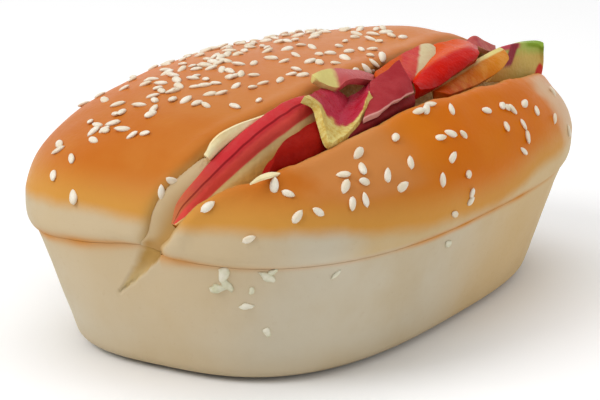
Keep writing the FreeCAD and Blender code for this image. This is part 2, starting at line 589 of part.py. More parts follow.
def key(name, x, y, width, depth):
    """One button: a rounded cap through the panel, a lip that holds it in, and a stem on its dome."""
    body = doc.addObject("PartDesign::Body", name)
    bind(body, x=x, y=y, z="levels.lip_bottom")
    cap = body.newObject("PartDesign::AdditiveBox", f"{name}_cap")
    bind(cap, Length=width, Width=depth, Height="levels.key_top - levels.lip_bottom",
         x=f"-({width}) / 2", y=f"-({depth}) / 2")
    cap.recompute()
    upright = [f"Edge{i}" for i, edge in enumerate(cap.Shape.Edges, start=1) if edge.BoundBox.ZLength > 1e-6]
    rounded = body.newObject("PartDesign::Fillet", f"{name}_corners")
    rounded.Base = (cap, upright)
    bind(rounded, Radius="dims.key_corner")
    rounded.recompute()
    height = level("key_top") - level("lip_bottom")
    top = [f"Edge{i}" for i, edge in enumerate(rounded.Shape.Edges, start=1)
           if edge.BoundBox.ZMin > height - 1e-3]
    soft = body.newObject("PartDesign::Fillet", f"{name}_top_edge")
    soft.Base = (rounded, top)
    bind(soft, Radius="dims.key_edge")
    lip = body.newObject("PartDesign::AdditiveBox", f"{name}_lip")
    bind(lip, Length=f"{width} + dims.key_lip * 2", Width=f"{depth} + dims.key_lip * 2",
         Height="dims.key_lip_thickness", x=f"-({width}) / 2 - dims.key_lip",
         y=f"-({depth}) / 2 - dims.key_lip")
    stem = body.newObject("PartDesign::AdditiveCylinder", f"{name}_stem")
    bind(stem, Radius="dims.key_stem / 2", Height="levels.lip_bottom - levels.stem_bottom",
         z="levels.stem_bottom - levels.lip_bottom")
    body.Tip = stem
    piece(name, body)


def hook():
    """Plunger that the lid holds down, the switch below it, and its spring as a sleeve of the coil's size."""
    x = "-levels.plunger_x"
    pin = cylinder("plunger_pin", "dims.plunger_diameter / 2", "levels.plunger_top - levels.collar_top",
                   x, "0", "levels.collar_top")
    collar = cylinder("plunger_collar", "dims.plunger_collar / 2", "dims.collar_thickness", x, "0",
                      "levels.collar_top - dims.collar_thickness")
    switch_top = "(levels.board_top + dims.switch_height)"
    tip = cylinder("plunger_tip", "dims.plunger_tip / 2",
                   f"levels.collar_top - {switch_top} - dims.plunger_clearance", x, "0",
                   f"{switch_top} + dims.plunger_clearance")
    piece("hook_plunger", fuse("hook_plunger_fuse", pin, collar, tip))
    piece("hook_switch", cylinder("hook_switch_can", "dims.switch_diameter / 2", "dims.switch_height",
                                  x, "0", "levels.board_top"))
    height = "levels.collar_top - dims.collar_thickness - levels.board_top - 2 * dims.plunger_clearance"
    outer = cylinder("spring_outer", "(dims.spring_diameter + dims.spring_wire) / 2", height, x, "0",
                     "levels.board_top + dims.plunger_clearance")
    inner = cylinder("spring_inner", "(dims.spring_diameter - dims.spring_wire) / 2", height, x, "0",
                     "levels.board_top + dims.plunger_clearance")
    piece("hook_spring", cut("hook_spring_sleeve", outer, inner))


def microphone():
    """Capsule in a rubber boot under the panel's front edge."""
    y, boot_bottom = "levels.microphone_y", "(levels.panel_bottom - dims.boot_height)"
    outer = cylinder("boot_outer", "dims.microphone_diameter / 2 + dims.boot_wall", "dims.boot_height", "0", y,
                     boot_bottom)
    inner = cylinder("boot_inner", "dims.microphone_diameter / 2", "dims.microphone_height", "0", y,
                     "levels.panel_bottom - dims.microphone_height")
    piece("microphone_boot", cut("microphone_boot_cut", outer, inner))
    piece("microphone", cylinder("microphone_can", "dims.microphone_diameter / 2 - dims.screw_clearance",
                                 "dims.microphone_height", "0", y,
                                 "levels.panel_bottom - dims.microphone_height"))


def ringer_and_ballast():
    """Sounder in its holder over the sound holes, and the weight that steadies the open lid."""
    x, floor = "dims.ringer_place", "levels.plate_top"
    outer = cylinder("holder_outer", "dims.ringer_diameter / 2 + dims.holder_wall", "dims.holder_height",
                     x, "0", floor)
    seat = cylinder("holder_seat", "dims.ringer_diameter / 2 + dims.screw_clearance", "dims.holder_height / 2",
                    x, "0", f"{floor} + dims.holder_height / 2")
    throat = cylinder("holder_throat", "dims.ringer_diameter / 2 - dims.holder_wall", "dims.holder_height", x,
                      "0", floor)
    piece("ringer_holder", cut("ringer_holder_cut", outer, seat, throat))
    piece("ringer_disc", cylinder("ringer_plate", "dims.ringer_diameter / 2", "dims.ringer_thickness", x, "0",
                                  f"{floor} + dims.holder_height / 2"))
    piece("ballast_weight", box("ballast_block", "dims.ballast_length", "dims.ballast_width",
                                "dims.ballast_thickness", "-dims.ballast_place", "0", floor))


def line_jack():
    """Socket for a line plug in the hidden end wall, with four spring contacts."""
    face, floor = "levels.jack_face", "levels.ledge_top"
    socket_floor = f"({floor} + (dims.jack_height - dims.socket_height) / 2)"
    block = box("jack_block", "dims.jack_length", "dims.jack_width", "dims.jack_height",
                f"{face} - dims.jack_length / 2", "0", floor)
    socket = box("jack_socket", "dims.socket_depth", "dims.socket_width", "dims.socket_height",
                 f"{face} - dims.socket_depth / 2", "0", socket_floor)
    latch = box("jack_latch", "dims.socket_depth", "dims.latch_width", "dims.latch_height",
                f"{face} - dims.socket_depth / 2", "0", f"{socket_floor} - dims.latch_height")
    piece("line_jack", cut("line_jack_cut", block, fuse("jack_hollow", socket, latch)))
    wires = [box(f"contact_{i}", "dims.contact_length", "dims.contact_wire", "dims.contact_wire",
                 f"{face} - dims.socket_depth + dims.contact_length / 2", f"{i - 1.5} * dims.contact_pitch",
                 f"{socket_floor} + dims.socket_height - dims.contact_wire") for i in range(4)]
    piece("jack_contacts", group("jack_contact_group", wires))


def slide_switch(name, side):
    """Body on the ledge behind the back wall, and its slider through the wall's window."""
    x = f"({side} * dims.slider_place)"
    front = "levels.slide_seat_y"
    middle = "(levels.ledge_top + dims.slider_level)"
    block = box(f"{name}_block", "dims.slide_switch_length", "dims.slide_switch_width",
                "levels.slide_switch_height", x, f"{front} - dims.slide_switch_width / 2", "levels.ledge_top")
    groove = box(f"{name}_groove", "dims.slider_width + dims.slider_travel + dims.fit_gap * 2",
                 "dims.slider_foot", "dims.slider_height + dims.fit_gap * 2", x,
                 f"{front} - dims.slider_foot / 2", f"{middle} - dims.slider_height / 2 - dims.fit_gap")
    piece(f"{name}_switch", cut(f"{name}_switch_cut", block, groove))
    slider = box(f"{name}_slider_bar", "dims.slider_width",
                 "dims.slider_foot - dims.fit_gap + dims.slider_reach", "dims.slider_height",
                 f"{x} - dims.slider_travel / 2",
                 f"{front} + (dims.slider_reach - dims.slider_foot + dims.fit_gap) / 2",
                 f"{middle} - dims.slider_height / 2")
    piece(f"{name}_slider", slider)


def hinge_pin():
    length = "dims.lid_knuckle_length + 2 * (dims.knuckle_gap + dims.knuckle_length)"
    piece("hinge_pin", lying_cylinder("hinge_rod", "dims.pin_diameter / 2", length, f"-({length}) / 2",
                                      "levels.hinge_y", "levels.hinge_z"))


def layer_sheet(name, far, near):
    """Curved upright sheet along the front, between two distances from the bun's middle line."""
    power, overrun = dim("plan_power"), dim("slit_overrun")
    tip, inner_tip = level("tip") + overrun, level("tip") + overrun / 2
    edges = [quarter_curve(tip, near, power, quarter) for quarter in (2, 3)]
    edges += [quarter_curve(inner_tip, far, power, quarter) for quarter in (2, 3)]
    edges += [Part.makeLine(Vector(end * tip, 0, 0), Vector(end * inner_tip, 0, 0)) for end in (1, -1)]
    outline = doc.addObject("Part::Feature", f"{name}_plan")
    outline.Shape = Part.Wire(Part.__sortEdges__(edges))
    return extrusion(f"{name}_sheet", outline, Vector(0, 0, 1), "dims.crown_height * 2")


def span(name, start, end, floor):
    """Box between two places along the bun, open upwards."""
    return box(name, f"({end}) - ({start})", "levels.belly_width * 2", "dims.crown_height * 2",
               f"(({end}) + ({start})) / 2", "0", floor)


def trough(name, wall, floor, deep_floor, end):
    """Long shallow part of the slit and its deep end at the tear, widened by a wall."""
    deep_edge = f"-levels.tip + dims.tear_step + {wall}"
    start = "-levels.tip - dims.slit_overrun * 2"
    long_part = span(f"{name}_long", start, end, floor)
    deep_part = span(f"{name}_deep", start, deep_edge, deep_floor)
    return fuse(f"{name}_space", long_part, deep_part)


def crust_and_tray():
    """Browned crown cut by the slit and the tear, and the crumb tray that closes the slit from below."""
    slit = common("slit_cut", layer_sheet("slit", dim("slit_far"), level("slit_near")),
                  trough("slit", "0", "levels.tray_floor", "levels.deep_floor", "levels.slit_end"))
    wall = dim("tray_wall")
    tray_block = common("tray_block", layer_sheet("tray", dim("slit_far") - wall, level("slit_near") + wall),
                        trough("tray", "dims.tray_wall", "levels.tray_bottom", "levels.deep_bottom",
                               "levels.slit_end + dims.tray_wall"))
    inside = common("tray_inside", tray_block, crown_loft("tray_limit", dim("shell_wall") + dim("fit_gap")))
    piece("filling_tray", cut("filling_tray_cut", inside, slit))

    crown = cut("crown_walls", crown_loft("crown_outside", 0.0), crown_loft("crown_hollow", dim("shell_wall")))
    bosses = [cylinder(f"lid_boss_{i}", "dims.boss_diameter / 2", "dims.lid_boss_height", x, y,
                       "levels.liner_top") for i, (x, y) in enumerate(LID_BOSSES)]
    bores = [cylinder(f"lid_bore_{i}", "levels.screw_hole", "dims.lid_boss_height", x, y, "levels.liner_top")
             for i, (x, y) in enumerate(LID_BOSSES)]
    arm_start = "-dims.lid_knuckle_length / 2"
    barrel = knuckle("lid_knuckle", arm_start, "dims.lid_knuckle_length")
    arm = hinge_arm("lid_arm", arm_start, "dims.lid_knuckle_length", 1)
    pin_bore = lying_cylinder("lid_pin_bore", "dims.pin_diameter / 2 + dims.pin_clearance",
                              "dims.lid_knuckle_length", arm_start, "levels.hinge_y", "levels.hinge_z")
    seam, top = -dim("tear_place"), level("tray_floor")
    points = [Vector(0, seam + dim("tear_seam_width") / 2, level("rim") - dim("seam_gap")),
              Vector(0, seam - dim("tear_seam_width") / 2, level("rim") - dim("seam_gap")),
              Vector(0, seam - dim("tear_top_width"), top), Vector(0, seam, top)]
    tear = bind(polygon_prism("crown_tear", points, Vector(1, 0, 0), "dims.tear_step"),
                x="-levels.tip - dims.fit_gap")
    solid = fuse("crown_solid", crown, *bosses, barrel, arm)
    piece("crust_shell", cut("crust_shell_cut", solid, *bores, pin_bore, slit, tear))


def lid_liner():
    """Earpiece panel that closes the lid, the receiver in its cup, and the screws."""
    inset = dim("shell_wall") + dim("fit_gap")
    slab = prism("liner_slab", dim("seam_length") / 2 - inset, dim("seam_width") / 2 - inset,
                 "levels.liner_bottom", "dims.liner_thickness")
    y = "-dims.receiver_place"
    bore = "dims.receiver_diameter / 2 + dims.fit_gap"
    wall = cylinder("cup_outer", f"{bore} + dims.cup_wall", "dims.cup_height", "0", y, "levels.liner_top")
    hollow = cylinder("cup_inner", bore, "dims.cup_height", "0", y, "levels.liner_top")
    listen = [cylinder("listen_hole", "dims.sound_hole / 2", "dims.liner_thickness", "0", y,
                       "levels.liner_bottom")]
    for ring_number, count in ((1, 6), (2, 12)):
        for i in range(count):
            turn = 2 * math.pi * i / count
            offset = f"dims.receiver_diameter / 7 * {ring_number}"
            listen.append(cylinder(f"listen_{ring_number}_{i}", "dims.sound_hole / 2", "dims.liner_thickness",
                                   f"{offset} * {math.cos(turn)}", f"{y} + {offset} * {math.sin(turn)}",
                                   "levels.liner_bottom"))
    seats = screw_seats("liner_seat", "levels.liner_bottom", "dims.liner_thickness", LID_BOSSES)
    piece("lid_liner", cut("lid_liner_cut", fuse("liner_and_cup", slab, wall), hollow, *listen, *seats))
    countersunk_screws("lid_screws", "levels.liner_bottom", LID_BOSSES)
    ring = cylinder("gasket_outer", "dims.receiver_diameter / 2", "dims.gasket_thickness", "0", y,
                    "levels.liner_top")
    ring_hole = cylinder("gasket_inner", "dims.receiver_diameter / 2 - dims.cup_wall", "dims.gasket_thickness",
                         "0", y, "levels.liner_top")
    piece("receiver_gasket", cut("receiver_gasket_cut", ring, ring_hole))
    magnet_height = "dims.receiver_height / 2"
    frame = cylinder("receiver_frame", "dims.receiver_diameter / 2", f"dims.receiver_height - {magnet_height}",
                     "0", y, "levels.gasket_top")
    magnet = cylinder("receiver_magnet", "dims.receiver_diameter / 3", "dims.receiver_height", "0", y,
                      "levels.gasket_top")
    piece("earpiece_receiver", fuse("earpiece_receiver_fuse", frame, magnet))


def dome_height(share):
    """A height on the dome, as a share of its rise over the belly."""
    return dim("belly_height") + (dim("crown_height") - dim("belly_height")) * share


def filling_slice(name, shape):
    """A slice standing in the slit: a curved sheet under an elliptical top edge.

    A deep slice also runs down into the torn end.
    """
    tip, far = level("tip"), level(shape["layer"])
    start, end = tip * shape["start"], tip * shape["end"]
    reach, height = tip * shape["reach"], shape["height"]
    sheet = layer_sheet(name, far, far + dim(shape["thickness"]))
    outline = doc.addObject("Part::Feature", f"{name}_outline")
    centre = Vector(tip * shape["crest"], level("belly_width"), dome_height(shape["top"]) - height)
    long_way = Vector(1, 0, 0) if reach >= height else Vector(0, 0, 1)
    frame = Placement(centre, Rotation(long_way, Vector(), Vector(0, 1, 0), "ZXY"))
    ellipse = Part.Ellipse(Vector(), max(reach, height), min(reach, height)).toShape()
    ellipse.Placement = frame
    outline.Shape = Part.Wire([ellipse])
    bump = extrusion(f"{name}_bump", outline, Vector(0, -1, 0), "levels.belly_width * 2")
    window = span(f"{name}_span", str(start), str(end), "levels.tray_floor + dims.fit_gap")
    if shape.get("deep"):
        end_span = span(f"{name}_end_span", str(start), "-levels.tip + dims.tear_step - dims.fit_gap",
                        "levels.deep_floor + dims.fit_gap")
        window = fuse(f"{name}_window", window, end_span)
    piece(name, common(f"{name}_cut", common(f"{name}_band", sheet, window), bump))


def cucumber_slice():
    """A flat slice at the slit's far end, standing in the tray and leaning out over the near lip."""
    floor = level("tray_floor") + dim("fit_gap")
    y = -dim("cucumber_place") - dim("cucumber_thickness") / 2
    points = [Vector(level("tip") * along, y, floor if up is None else dome_height(up))
              for along, up in CUCUMBER_OUTLINE]
    piece("cucumber_slice", polygon_prism("cucumber_prism", points, Vector(0, 1, 0), "dims.cucumber_thickness"))


def filling():
    """Nine slices in four layers, from the far lip to the near lip."""
    for name, shape in SLICES.items():
        filling_slice(name, shape)
    cucumber_slice()


def crown_point(turn_share, angle):
    """A point of the crown's surface, by its share of the turn and its angle up from the belly."""
    rise = math.sin(angle) ** (2 / dim("dome_power"))
    shrink = math.cos(angle) ** (2 / dim("dome_power"))
    power = dim("plan_power") + (dim("crown_power") - dim("plan_power")) * rise
    point = plan_point(level("belly_length") / 2 * shrink, level("belly_width") / 2 * shrink, power, turn_share)
    point.z = dim("belly_height") + (dim("crown_height") - dim("belly_height")) * rise
    return point


def in_slit(point, margin):
    """Whether a place on the crown lies over the slit or too close to its lips."""
    share = max(1 - abs(point.x / level("tip")) ** dim("plan_power"), 0) ** (1 / dim("plan_power"))
    return (dim("slit_far") - margin) * share < -point.y < (level("slit_near") + margin) * share


def sesame_seeds():
    """Seeds half sunk in the crust, spread by a spiral that keeps clear of the slit."""
    golden_turn, step = 0.381966, 0.01
    lowest, spread, edge = math.radians(22), math.radians(60), dim("seed_length")
    seeds = []
    number = 0
    while len(seeds) < int(dim("seed_count")):
        number += 1
        angle = lowest + spread * ((number * math.sqrt(2)) % 1)
        turn = (number * golden_turn) % 1
        point = crown_point(turn, angle)
        if in_slit(point, edge):
            continue
        along = crown_point(turn + step, angle) - crown_point(turn - step, angle)
        upward = crown_point(turn, angle + step) - crown_point(turn, angle - step)
        seed = doc.addObject("Part::Ellipsoid", f"seed_{number}")
        bind(seed, Radius1="dims.seed_thickness / 2", Radius2="dims.seed_length / 2",
             Radius3="dims.seed_width / 2")
        heading = Rotation(Vector(0, 0, 1), 360 * ((number * golden_turn * 2) % 1))
        seed.Placement = Placement(point, Rotation(along, upward, along.cross(upward), "ZXY") * heading)
        seeds.append(seed)
    piece("sesame_seeds", group("sesame_seed_group", seeds))


def build():
    lower_shell()
    underside()
    keypad_panel()
    circuit()
    for place in key_places():
        key(*place)
    hook()
    microphone()
    ringer_and_ballast()
    line_jack()
    for name, side in SLIDER_SIDES.items():
        slide_switch(name, side)
    hinge_pin()
    crust_and_tray()
    lid_liner()
    filling()
    sesame_seeds()


def export():
    """Check every object, then write each sub-part."""
    doc.recompute()
    failed = [thing.Name for thing in doc.Objects if {"Invalid", "Error"} & set(thing.State)]
    failed += [thing.Label for thing in pieces if thing.Shape.isNull() or not thing.Shape.isValid()]
    if failed:
        raise SystemExit("failed: " + ", ".join(failed))
    os.makedirs("parts", exist_ok=True)
    for thing in pieces:
        thing.Shape.exportStep(f"parts/{thing.Label}.step")
        print(f"{thing.Label}: {len(thing.Shape.Solids)} solids, {thing.Shape.Volume:.1f} mm3")


build()
export()
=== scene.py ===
# %% [markdown]
# # A telephone in the shape of a filled bun
# The object is a clamshell telephone whose outside is a moulded sesame bun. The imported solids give
# the mechanism: keys, hinge, hook, switches and inner panels. This lesson keeps those and dresses the
# outside, which has to look soft, baked and torn, and so is built as fine meshes instead of plain solids.

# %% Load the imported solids
import math

import bmesh
import bpy
import numpy as np
from mathutils import Matrix, Quaternion, Vector, noise
from mathutils.bvhtree import BVHTree


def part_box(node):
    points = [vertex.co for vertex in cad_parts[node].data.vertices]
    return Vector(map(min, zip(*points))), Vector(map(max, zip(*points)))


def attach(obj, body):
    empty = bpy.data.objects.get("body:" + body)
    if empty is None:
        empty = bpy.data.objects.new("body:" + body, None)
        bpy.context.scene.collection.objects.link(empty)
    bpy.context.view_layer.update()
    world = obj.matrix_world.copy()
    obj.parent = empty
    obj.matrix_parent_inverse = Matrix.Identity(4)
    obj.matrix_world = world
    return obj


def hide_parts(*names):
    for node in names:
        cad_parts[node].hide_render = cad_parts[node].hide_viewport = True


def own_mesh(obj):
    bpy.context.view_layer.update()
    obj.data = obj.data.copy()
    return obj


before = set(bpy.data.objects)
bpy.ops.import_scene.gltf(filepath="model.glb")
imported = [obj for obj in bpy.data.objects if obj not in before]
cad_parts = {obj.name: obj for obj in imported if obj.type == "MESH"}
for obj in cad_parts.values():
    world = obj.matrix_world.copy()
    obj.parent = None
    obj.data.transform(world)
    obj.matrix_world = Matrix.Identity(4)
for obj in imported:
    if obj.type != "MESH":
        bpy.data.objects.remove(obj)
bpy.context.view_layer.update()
scene = bpy.context.scene
MM = 0.001


def shown(name, data):
    """A new object in the scene."""
    made = bpy.data.objects.new(name, data)
    scene.collection.objects.link(made)
    return made


def span(node):
    """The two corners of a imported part's box, in millimetres."""
    return [Vector(corner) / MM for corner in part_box(node)]


# %% [markdown]
# ## Camera
# The camera's place was fitted to the bun's outline in the photograph. A ray through a pixel is the
# camera's own ray, so a seed or a slice that was seen at a pixel can be laid on the surface that carries it.

# %% Camera and rays
EYE = Vector((-392.7, -226.1, 140.2))
AIM = Vector((-4.35, 1.2, 23.1))
ROLL = math.radians(0.38)
LENS, SENSOR = 125.2, 36.0
IMAGE_WIDTH, IMAGE_HEIGHT = 600, 400

camera_data = bpy.data.cameras.new("camera")
camera_data.lens, camera_data.sensor_width = LENS, SENSOR
camera_data.clip_start, camera_data.clip_end = 0.01, 20
camera = shown("camera", camera_data)
turn = (AIM - EYE).to_track_quat("-Z", "Y") @ Quaternion((0, 0, 1), ROLL)
camera.matrix_world = Matrix.Translation(EYE * MM) @ turn.to_matrix().to_4x4()
scene.camera = camera


def ray(px, py):
    """Direction of the camera's ray through a pixel."""
    focal = LENS / SENSOR * IMAGE_WIDTH
    return (turn @ Vector((px - IMAGE_WIDTH / 2, IMAGE_HEIGHT / 2 - py, -focal))).normalized()


def at_depth(px, py, y):
    """Point seen at a pixel, on the upright plane at a given y, in millimetres."""
    way = ray(px, py)
    return EYE + way * ((y - EYE.y) / way.y)


print("camera looks along", tuple(round(v, 3) for v in ray(IMAGE_WIDTH / 2, IMAGE_HEIGHT / 2)))

# %% [markdown]
# ## Floor, background and light
# The bun stands on white. The floor is pale and keeps the soft shadow, and rays that come straight from
# the camera get a little extra white there and in the background, so the lamps don't have to be strong.
# Near the bun that extra white fades with ambient occlusion, which is a painted contact shadow on the floor.

# %% Node helpers
def feed(tree, node, values):
    """Sets or links a node's inputs by name or number."""
    for key, value in values.items():
        if isinstance(value, bpy.types.NodeSocket):
            tree.links.new(value, node.inputs[key])
        else:
            node.inputs[key].default_value = value


def put(tree, kind, values=None, **settings):
    """Adds a node, sets its properties and feeds its inputs."""
    made = tree.nodes.new(kind)
    for key, value in settings.items():
        setattr(made, key, value)
    feed(tree, made, values or {})
    return made


def calc(tree, operation, first, second=0.0, third=0.0):
    return put(tree, "ShaderNodeMath", {0: first, 1: second, 2: third}, operation=operation).outputs[0]


def paint(red, green, blue):
    """A colour as it is read off a screen, turned into the linear values that shaders use."""
    return tuple((c / 255 / 12.92 if c / 255 <= 0.04045 else ((c / 255 + 0.055) / 1.055) ** 2.4)
                 for c in (red, green, blue)) + (1.0,)


def empty_tree(owner):
    """The cleared node tree of a material or a world."""
    owner.use_nodes = True
    owner.node_tree.nodes.clear()
    return owner.node_tree


def seen_directly(tree):
    """One for rays from the camera, a mirror or clear stuff, and zero for light that bounces."""
    path = put(tree, "ShaderNodeLightPath").outputs
    shiny = calc(tree, "MAXIMUM", path["Is Glossy Ray"], path["Is Transmission Ray"])
    return calc(tree, "MAXIMUM", path["Is Camera Ray"], shiny)


print("node helpers ready")

# %% Stage
scene.view_settings.view_transform = "Standard"
FLOOR_HALF, FLOOR_LIFT, CONTACT_SHADE_REACH, AMBIENT = 4.0, 0.24, 0.09, 0.38
WHITE, PALE = (1, 1, 1, 1), (0.9, 0.9, 0.9, 1)
floor_mesh = bpy.data.meshes.new("floor")
floor_mesh.from_pydata([(x * FLOOR_HALF, y * FLOOR_HALF, 0) for x, y in ((-1, -1), (1, -1), (1, 1), (-1, 1))],
                       [], [(0, 1, 2, 3)])
floor = shown("floor", floor_mesh)
floor_finish = bpy.data.materials.new("white_table")
tree = empty_tree(floor_finish)
matt = put(tree, "ShaderNodeBsdfDiffuse", {"Color": PALE})
# painted contact shadow: the floor's extra white fades with ambient occlusion near the bun
corner = put(tree, "ShaderNodeAmbientOcclusion", {"Distance": CONTACT_SHADE_REACH})
lift = calc(tree, "MULTIPLY", seen_directly(tree), calc(tree, "MULTIPLY", corner.outputs["AO"], FLOOR_LIFT))
glow = put(tree, "ShaderNodeEmission", {"Color": WHITE, "Strength": lift})
both = put(tree, "ShaderNodeAddShader", {0: matt.outputs[0], 1: glow.outputs[0]})
put(tree, "ShaderNodeOutputMaterial", {"Surface": both.outputs[0]})
floor_mesh.materials.append(floor_finish)

scene.world = bpy.data.worlds.new("studio")
tree = empty_tree(scene.world)
level = put(tree, "ShaderNodeMapRange", {"Value": seen_directly(tree), "To Min": AMBIENT, "To Max": 1.0})
backdrop = put(tree, "ShaderNodeBackground", {"Color": WHITE, "Strength": level.outputs[0]})
put(tree, "ShaderNodeOutputWorld", {"Surface": backdrop.outputs[0]})

LAMP_AIM = Vector((0, 0, 0.03))
for name, place, size, watts in (("window_left", (-0.75, 0.45, 0.75), 0.6, 5.8),
                                 ("soft_top", (0.1, 0.1, 1.1), 0.9, 4.2),
                                 ("fill_right", (0.15, -1.1, 0.24), 0.7, 2.6)):
    soft_box = bpy.data.lights.new(name, "AREA")
    soft_box.size, soft_box.energy = size, watts
    way = (LAMP_AIM - Vector(place)).to_track_quat("-Z", "Y")
    shown(name, soft_box).matrix_world = Matrix.Translation(place) @ way.to_matrix().to_4x4()
print("stage is set")

# %% [markdown]
# ## Finishes
# A baked crust is never one colour: it is browned unevenly, paler where the dough stretched, and carries
# fine pores. The group below makes that unevenness once, for every finish, from the piece's own place.
# A finish starts from it, mixes its colours, and is wired into its shader at the end.

# %% Shared shader group
unevenness = bpy.data.node_groups.new("unevenness", "ShaderNodeTree")
for label, kind, way in (("Place", "Vector", "INPUT"), ("Cloud size", "Float", "INPUT"),
                         ("Grain size", "Float", "INPUT"), ("Cloud", "Float", "OUTPUT"),
                         ("Grain", "Float", "OUTPUT"), ("Height", "Float", "OUTPUT")):
    unevenness.interface.new_socket(label, in_out=way, socket_type="NodeSocket" + kind)
given = put(unevenness, "NodeGroupInput").outputs
cloud_scale = calc(unevenness, "DIVIDE", 1.0, given["Cloud size"])
grain_scale = calc(unevenness, "DIVIDE", 1.0, given["Grain size"])
cloud = put(unevenness, "ShaderNodeTexNoise", {"Vector": given["Place"], "Scale": cloud_scale,
                                               "Detail": 4.0, "Roughness": 0.55}).outputs["Fac"]
grain = put(unevenness, "ShaderNodeTexNoise", {"Vector": given["Place"], "Scale": grain_scale,
                                               "Detail": 3.0, "Roughness": 0.6}).outputs["Fac"]
pores = put(unevenness, "ShaderNodeTexVoronoi", {"Vector": given["Place"], "Scale": grain_scale})
put(unevenness, "NodeGroupOutput", {"Cloud": cloud, "Grain": grain, "Height": calc(
    unevenness, "MULTIPLY_ADD", pores.outputs["Distance"], 0.5, grain)})
print("shared group ready")


# %% Finish helper
class Finish:
    """A material in the making: its shader, the piece's own coordinates and its unevenness."""

    def __init__(self, name, cloud_size, grain_size, roughness):
        self.made = bpy.data.materials.new(name)
        self.tree = empty_tree(self.made)
        self.shader = put(self.tree, "ShaderNodeBsdfPrincipled", {"Roughness": roughness})
        put(self.tree, "ShaderNodeOutputMaterial", {"Surface": self.shader.outputs[0]})
        place = put(self.tree, "ShaderNodeTexCoord").outputs["Object"]
        self.x, self.y, self.z = put(self.tree, "ShaderNodeSeparateXYZ", {0: place}).outputs
        uneven = put(self.tree, "ShaderNodeGroup", {"Place": place, "Cloud size": cloud_size,
                                                    "Grain size": grain_size}, node_tree=unevenness)
        self.cloud, self.grain, self.height = uneven.outputs

    def calc(self, operation, *values):
        return calc(self.tree, operation, *values)

    def times(self, first, *others):
        for other in others:
            first = self.calc("MULTIPLY", first, other)
        return first

    def between(self, value, low, high, to_low=0.0, to_high=1.0):
        """Stretches a value, smoothly, from one range to another."""
        return put(self.tree, "ShaderNodeMapRange", {"Value": value, "From Min": low, "From Max": high,
                                                     "To Min": to_low, "To Max": to_high},
                   interpolation_type="SMOOTHSTEP").outputs[0]

    def mix(self, amount, first, second):
        """Mixes two colours by a value."""
        first, second = (paint(*shade) if isinstance(shade, tuple) else shade for shade in (first, second))
        return put(self.tree, "ShaderNodeMix", {0: amount, 6: first, 7: second},
                   data_type="RGBA", blend_type="MIX").outputs[2]

    def clouds(self, first, second, low=0.3, high=0.7):
        """Two colours in soft clouds."""
        return self.mix(self.between(self.cloud, low, high), first, second)

    def shifted(self, value, amount, by=None):
        """A value pushed to and fro by the clouds, or by another texture."""
        by = self.cloud if by is None else by
        return self.calc("ADD", value, self.calc("MULTIPLY_ADD", by, amount, -amount / 2))

    def away(self, value, middle):
        return self.calc("ABSOLUTE", self.calc("SUBTRACT", value, middle))

    def carried(self, name):
        """A value that the mesh carries."""
        return put(self.tree, "ShaderNodeAttribute", attribute_name=name).outputs["Fac"]

    def grainy(self, low, high):
        return self.between(self.grain, 0.3, 0.7, low, high)

    def done(self, colour, relief, others=None, height=None, strength=1.0):
        """Wires colour, relief and other inputs into the shader, and gives the material."""
        bump = put(self.tree, "ShaderNodeBump", {"Height": self.height if height is None else height,
                                                 "Distance": relief, "Strength": strength})
        feed(self.tree, self.shader, {"Base Color": colour, "Normal": bump.outputs[0], **(others or {})})
        return self.made


def plain_finish(name, colour, other, roughness, cloud_size, grain_size, relief, metallic=0.0):
    """A moulded or metal finish: two near colours in soft clouds, grainy gloss and a fine relief."""
    coat = Finish(name, cloud_size, grain_size, roughness)
    return coat.done(coat.clouds(colour, other, 0.35, 0.65), relief,
                     {"Roughness": coat.grainy(roughness * 0.85, roughness * 1.15), "Metallic": metallic})


print("finish helper ready")

# %% [markdown]
# ## Crust finish
# The tub and the lower edge of the crown are cream. Above the belly the dough browns through yellow to a
# glazed orange-brown, mixed paler on the very top as a painted sheen. The border wanders, so its height is
# shifted by the clouds. It sinks from the near end to the middle and climbs a little beyond. A peach patch on
# the near side is a painted highlight, and the near right corner is pale. The meshes carry two values: toast,
# for the thin line along the parting, and torn, for broken crust at the tear and the lips of the slit.

# %% Baked finish
SEAM_Z, RIM_Z, BELLY_Z, CROWN_Z = 26.5, 26.54, 34.0, 57.0


